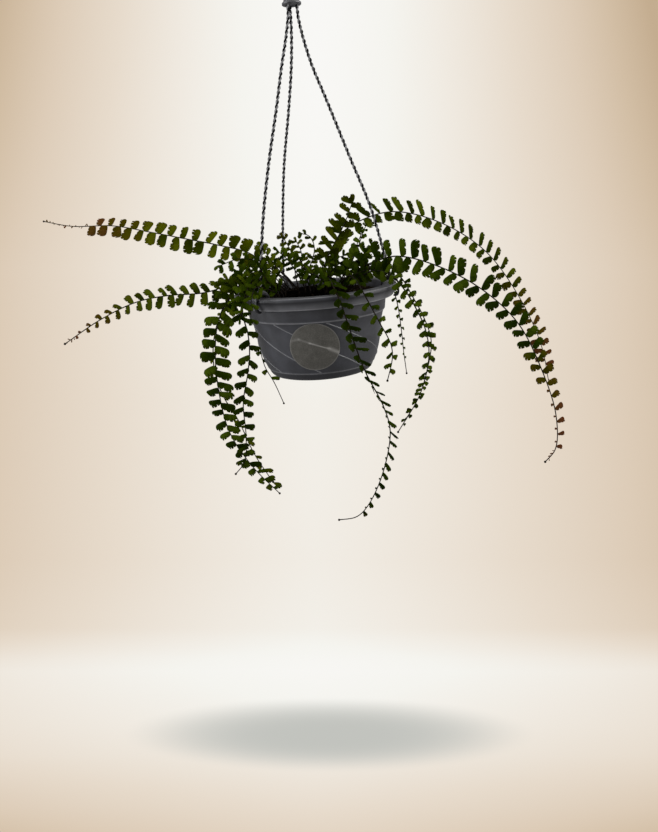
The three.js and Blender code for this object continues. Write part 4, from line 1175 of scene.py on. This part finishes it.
    # a leaflet that would meet the pot is made shorter, down to a bud
    for _ in range(potRoom["tries"]):
        hit = meetsPot(placed(xSet, ySet, zSet, long)).reshape(count, -1).any(1) & (long > potRoom["bud"])
        long = np.where(hit, long * potRoom["shrink"], long)
    tipX = np.full((count, 1), leaflet["end"])
    tips = placed(tipX, middle[:, -1:], -droop * tipX**2, long)[:, 0]
    # the rings of the other side's leaflets run the other way round
    mirrored = (sign < 0)[:, None, None, None]
    rings = placed(xSet, ySet, zSet, long)
    leaves = tubes(np.where(mirrored, rings[:, :, ::-1], rings), centre, tips)

    # leaflet coordinates for the veins, and the tone of every point
    flat = np.stack([xSet, ySet], -1)
    flat = np.where(mirrored, flat[:, :, ::-1], flat)
    uv = tubePoints(flat, np.zeros((count, 2)), np.stack([tipX[:, 0], middle[:, -1]], -1))
    start, most = s["brown"]
    age = np.clip((share - start) / max(1 - start, 0.01), 0, 1) * most + 0.12 * chance(count)
    shade = 0.1 + 0.8 * chance(count) + s["light"]
    beneath = np.where((sign > 0)[:, None], [0.5, 0, 0.5, 1], [1, 0.5, 0, 0.5])[:, None]
    along = x[None, :, None]
    # the green is painted light and shade: each leaflet's own share, lighter towards its tip and darker at
    # its foot
    tone = np.stack(np.broadcast_arrays(age[:, None, None] + 0.15 * along,
                                        shade[:, None, None] + 0.4 * (along - 0.45), beneath, 1.0), -1)
    ends = np.stack(np.broadcast_arrays(age, shade - 0.18, 0.5, 1.0), -1)
    tone = tubePoints(tone, ends, ends + np.array([0, 0.4, 0, 0]))

    points, faces = joinParts([rib, leaves])
    uv = np.concatenate([np.zeros((len(rib[0]), 2)), uv])
    tone = np.concatenate([np.tile([0.0, 0.5, 0.0, 1.0], (len(rib[0]), 1)), tone])
    isLeaf = np.concatenate([np.arange(len(kind)) >= len(ribs) for kind, ribs in zip(faces, rib[1])])
    frond = makePiece(name, points * mm, faces, [wiryRib, leafMaterials[s["green"]]], indexes=isLeaf, uv=uv,
                      tone=tone, sharp=60)
    return frond


for seed, (node, s) in enumerate(fronds.items()):
    words = node.split("_")
    frond = buildFrond(words[0] + "".join(w.capitalize() for w in words[1:]), s, seed + 5)
    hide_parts(node)
print("fronds made:", len(fronds))

# small sprays that fill the crown: root, bare length, leaflet length, route, and what isn't usual
sprays = [
    ((-42, -4), 24, 14, [(-55, -6, -392), (-64, -4, -382), (-74, -2, -375), (-84, 0, -371)]),
    ((-46, -14), 24, 13, [(-59, -16, -394), (-70, -20, -385), (-81, -24, -378), (-91, -28, -372)]),
    ((-44, -26), 26, 15, [(-56, -30, -395), (-68, -38, -389), (-81, -46, -387), (-96, -52, -389)],
     {"green": "mid"}),
    ((-36, 14), 38, 10, [(-46, 14, -391), (-53, 16, -380), (-61, 18, -371), (-70, 20, -363)]),
    ((-48, -34), 26, 12, [(-60, -42, -393), (-72, -54, -388), (-84, -64, -392), (-92, -74, -404)]),
    ((-28, 26), 50, 9, [(-36, 26, -388), (-44, 28, -376), (-56, 28, -369), (-74, 26, -368)]),
    ((-50, -20), 24, 15, [(-63, -24, -392), (-77, -30, -386), (-90, -34, -385), (-106, -38, -384)],
     {"green": "mid", "light": -0.1}),
    ((-12, -16), 48, 11, [(-15, -18, -393), (-22, -20, -378), (-30, -22, -364), (-40, -24, -353)]),
    ((-6, -24), 26, 10, [(-8, -24, -393), (-9, -26, -381), (-12, -28, -371), (-17, -30, -362)]),
    ((-2, -10), 26, 8, [(-1, -10, -393), (5, -10, -385), (10, -10, -378), (18, -10, -371)]),
    ((14, -28), 24, 12, [(11, -36, -393), (7, -46, -386), (0, -52, -381), (-8, -56, -378)]),
    ((8, 26), 30, 9, [(10, 26, -391), (16, 26, -380), (25, 26, -372), (40, 26, -368)]),
    ((-14, 30), 44, 8, [(-16, 30, -387), (-14, 32, -371), (-14, 34, -359), (-19, 34, -345)],
     {"green": "olive", "light": 0.2}),
    ((14, -18), 24, 9, [(16, -20, -393), (24, -22, -385), (27, -24, -377), (25, -26, -367)]),
    ((28, -4), 26, 12, [(34, -6, -392), (44, -6, -381), (55, -6, -372), (65, -6, -363)]),
    ((36, 10), 26, 12, [(44, 10, -391), (59, 10, -384), (74, 10, -380), (90, 10, -378)]),
    ((30, -18), 30, 12, [(38, -20, -393), (51, -26, -387), (64, -32, -383), (78, -36, -384)]),
    ((38, 22), 26, 11, [(46, 24, -389), (57, 26, -378), (65, 26, -368), (76, 26, -359)]),
    ((48, 14), 26, 11, [(57, 16, -390), (73, 20, -385), (89, 22, -383), (105, 24, -389)]),
    ((-50, -42), 24, 14, [(-56, -52, -393), (-65, -62, -389), (-72, -76, -384), (-81, -92, -403)]),
    ((-44, -42), 28, 12, [(-52, -52, -393), (-60, -62, -385), (-66, -74, -375), (-73, -86, -365)]),
    ((-38, -46), 28, 11, [(-46, -54, -393), (-53, -64, -384), (-57, -74, -374), (-60, -84, -363)],
     {"light": 0.1}),
    ((-52, -28), 28, 15, [(-62, -34, -394), (-80, -46, -388), (-96, -56, -394), (-104, -62, -410)],
     {"green": "mid"}),
    ((-46, -46), 26, 12, [(-56, -58, -393), (-68, -72, -389), (-79, -84, -401), (-85, -88, -418)]),
    ((34, 34), 48, 6, [(40, 36, -387), (48, 38, -373), (57, 40, -358), (66, 40, -341), (71, 40, -334)],
     {"green": "mid"}),
    ((-42, -50), 28, 10, [(-54, -62, -393), (-66, -80, -388), (-71, -93, -399), (-73, -98, -420)]),
]
for seed, (root, bare, size, route, *more) in enumerate(sprays):
    s = {"root": root, "face": (0.2 - 0.1 * (seed % 5), -1, 0.4), "twist": -15, "roll": 70,
         "bare": (bare, 3), "pairs": 5, "sizes": (size, 1.2 * size, size), "wide": 0.8,
         "brown": (0.95, 0.1), "route": route, **dict(*more)}
    buildFrond("crownSpray" + str(seed + 1), s, seed + 60)
print("crown sprays made:", len(sprays))


# ---- floor, backdrop and light ----
studio = {
    "floor": -0.696, "wall": 2.45, "bend": 0.7, "half": 3.2, "height": 2.6,
    # how the paper's painted glow darkens and warms with height: place, its share in the middle and what
    # the sides add;
    # the height and half width, on the sheet's own coordinates, over which it changes
    "tall": 1.3, "wide": 0.46,
    "glowFalloff": [(0.00, (0.60, 0.20, 0)), (0.06, (0.43, 0.18, 0)), (0.11, (0.30, 0.15, 0)),
               (0.15, (0.20, 0.18, 0)), (0.22, (0.06, 0.24, 0)),
               (0.235, (0.08, 0.28, 0)), (0.275, (0.23, 0.37, 0)),
               (0.36, (0.27, 0.41, 0)), (0.55, (0.22, 0.48, 0)), (0.70, (0.08, 0.64, 0)),
               (0.87, (0.03, 0.86, 0)), (1.00, (0.01, 1.0, 0))],
    "paper": [(0.0, (0.947, 0.939, 0.922)), (0.15, (0.913, 0.905, 0.863)), (0.3, (0.871, 0.823, 0.753)),
              (0.5, (0.799, 0.708, 0.604)), (0.7, (0.723, 0.604, 0.479)), (0.85, (0.645, 0.515, 0.376)),
              (1.0, (0.552, 0.418, 0.279))],
    # the soft shadow under the plant: its middle and half sizes on the paper, its colour and strength
    "shadow": (0.022, -0.822, 0.33, 0.066), "shadowColour": (0.52, 0.53, 0.50), "shadowMost": 0.95,
    "world": (1.0, 0.99, 0.98), "worldStrength": 0.37,
    # where the lamps point, and each one's name, place, size, power and colour
    "aim": (0, 0, -0.42),
    "lamps": [("left", (-1.5, -0.45, -0.1), 0.9, 30, (0.97, 0.98, 1)),
              ("right", (1.5, -0.35, 0.0), 0.9, 31, (1, 0.99, 0.97)),
              ("front", (-0.4, -1.9, 0.3), 1.6, 6, (1, 1, 1)),
              ("top", (0.1, 0.4, 1.4), 1.2, 16, (1, 0.99, 0.97))],
}


def makePaper(s):
    # glowing paper, painted light in place of a lit backdrop: its painted shade follows the sheet's own
    # coordinates, so the lamps leave it even
    material, tree, shader = newMaterial("studioPaper", Roughness=1.0, Specular_IOR_Level=0.0,
                                         Base_Color=(0, 0, 0, 1), Emission_Strength=1.0)
    across, climb, _ = splitPlace(tree, readCoordinates(tree, "UV"))
    level = addRamp(tree, compute(tree, "MULTIPLY_ADD", climb, 1 / s["tall"], 1 / s["tall"]), s["glowFalloff"])
    share = addNode(tree, "ShaderNodeSeparateColor", {0: level}).outputs
    side = compute(tree, "MULTIPLY", compute(tree, "ABSOLUTE", across), 1 / s["wide"])
    side = compute(tree, "POWER", side, 1.3)
    # painted shade of the glow: darker and warmer towards the sides
    falloff = compute(tree, "MULTIPLY_ADD", side, share["Green"], share["Red"])
    # shadow: falls from the middle of an ellipse to its edge
    middleX, middleY, halfX, halfY = s["shadow"]
    x = compute(tree, "MULTIPLY_ADD", across, 1 / halfX, -middleX / halfX)
    y = compute(tree, "MULTIPLY_ADD", climb, 1 / halfY, -middleY / halfY)
    square = compute(tree, "MULTIPLY_ADD", y, y, compute(tree, "MULTIPLY", x, x))
    soft = remap(tree, square, 1.0, 0.0, 0.0, s["shadowMost"], interpolation_type="SMOOTHSTEP")
    final = mixColours(tree, soft, addRamp(tree, falloff, s["paper"]), s["shadowColour"])
    tree.links.new(final, shader.inputs["Emission Color"])
    return material


def buildStage(s, view):
    # a floor that bends up into a wall, measured from the camera: floor, quarter circle and wall
    turn = np.linspace(0, np.pi / 2, 24)
    floorY = np.linspace(0.35, s["wall"] - s["bend"], 30)[:-1]
    y = np.concatenate([floorY, s["wall"] - s["bend"] + s["bend"] * np.sin(turn), np.full(9, s["wall"])])
    z = np.concatenate([0 * floorY + s["floor"], s["floor"] + s["bend"] * (1 - np.cos(turn)),
                        np.linspace(s["floor"] + s["bend"], s["height"], 10)[1:]])
    x = np.linspace(-s["half"], s["half"], 81)
    sheet = np.stack(np.broadcast_arrays(x, y[:, None], z[:, None]), -1)
    # the sheet's own coordinates are its sideways and upright places over its distance, so that
    # the glow keeps its shape where the sheet bends
    uv = (sheet[..., [0, 2]] / sheet[..., 1:2]).reshape(-1, 2)
    # it leans sideways as the camera does, about the camera's own axis
    forward = np.array([0, math.cos(view["pitch"]), math.sin(view["pitch"])])
    tilt = Matrix.Rotation(-view["roll"], 3, forward.tolist())
    points = sheet.reshape(-1, 3) @ np.array(tilt).T + np.array(view["place"])
    row, column = np.meshgrid(np.arange(len(y) - 1), np.arange(len(x) - 1), indexing="ij")
    corner = row * len(x) + column
    faces = np.stack([corner, corner + 1, corner + len(x) + 1, corner + len(x)], -1).reshape(-1, 4)
    mesh = bpy.data.meshes.new("studioSweep")
    mesh.from_pydata(points.tolist(), [], faces.tolist())
    mesh.uv_layers.new(name="sheet").data.foreach_set("uv", uv[faces.ravel()].ravel())
    mesh.shade_smooth()
    mesh.materials.append(makePaper(s))
    sweep = bpy.data.objects.new("studioSweep", mesh)
    sweep.visible_diffuse = False
    sweep.visible_glossy = False
    bpy.context.collection.objects.link(sweep)


def makeLights(s):
    world = bpy.data.worlds.new("studioWorld")
    world.use_nodes = True
    back = world.node_tree.nodes["Background"]
    back.inputs["Color"].default_value = (*s["world"], 1)
    back.inputs["Strength"].default_value = s["worldStrength"]
    bpy.context.scene.world = world
    for name, place, size, power, colour in s["lamps"]:
        data = bpy.data.lights.new(name, "AREA")
        data.size, data.energy, data.color = size, power, colour
        away = unit(np.array(place) - s["aim"])
        side = unit(np.cross([0, 0, 1.0], away))
        placeObject(name, data, place, np.stack([side, np.cross(away, side), away], 1))


buildStage(studio, cameraSettings)
makeLights(studio)
print("stage and light made")
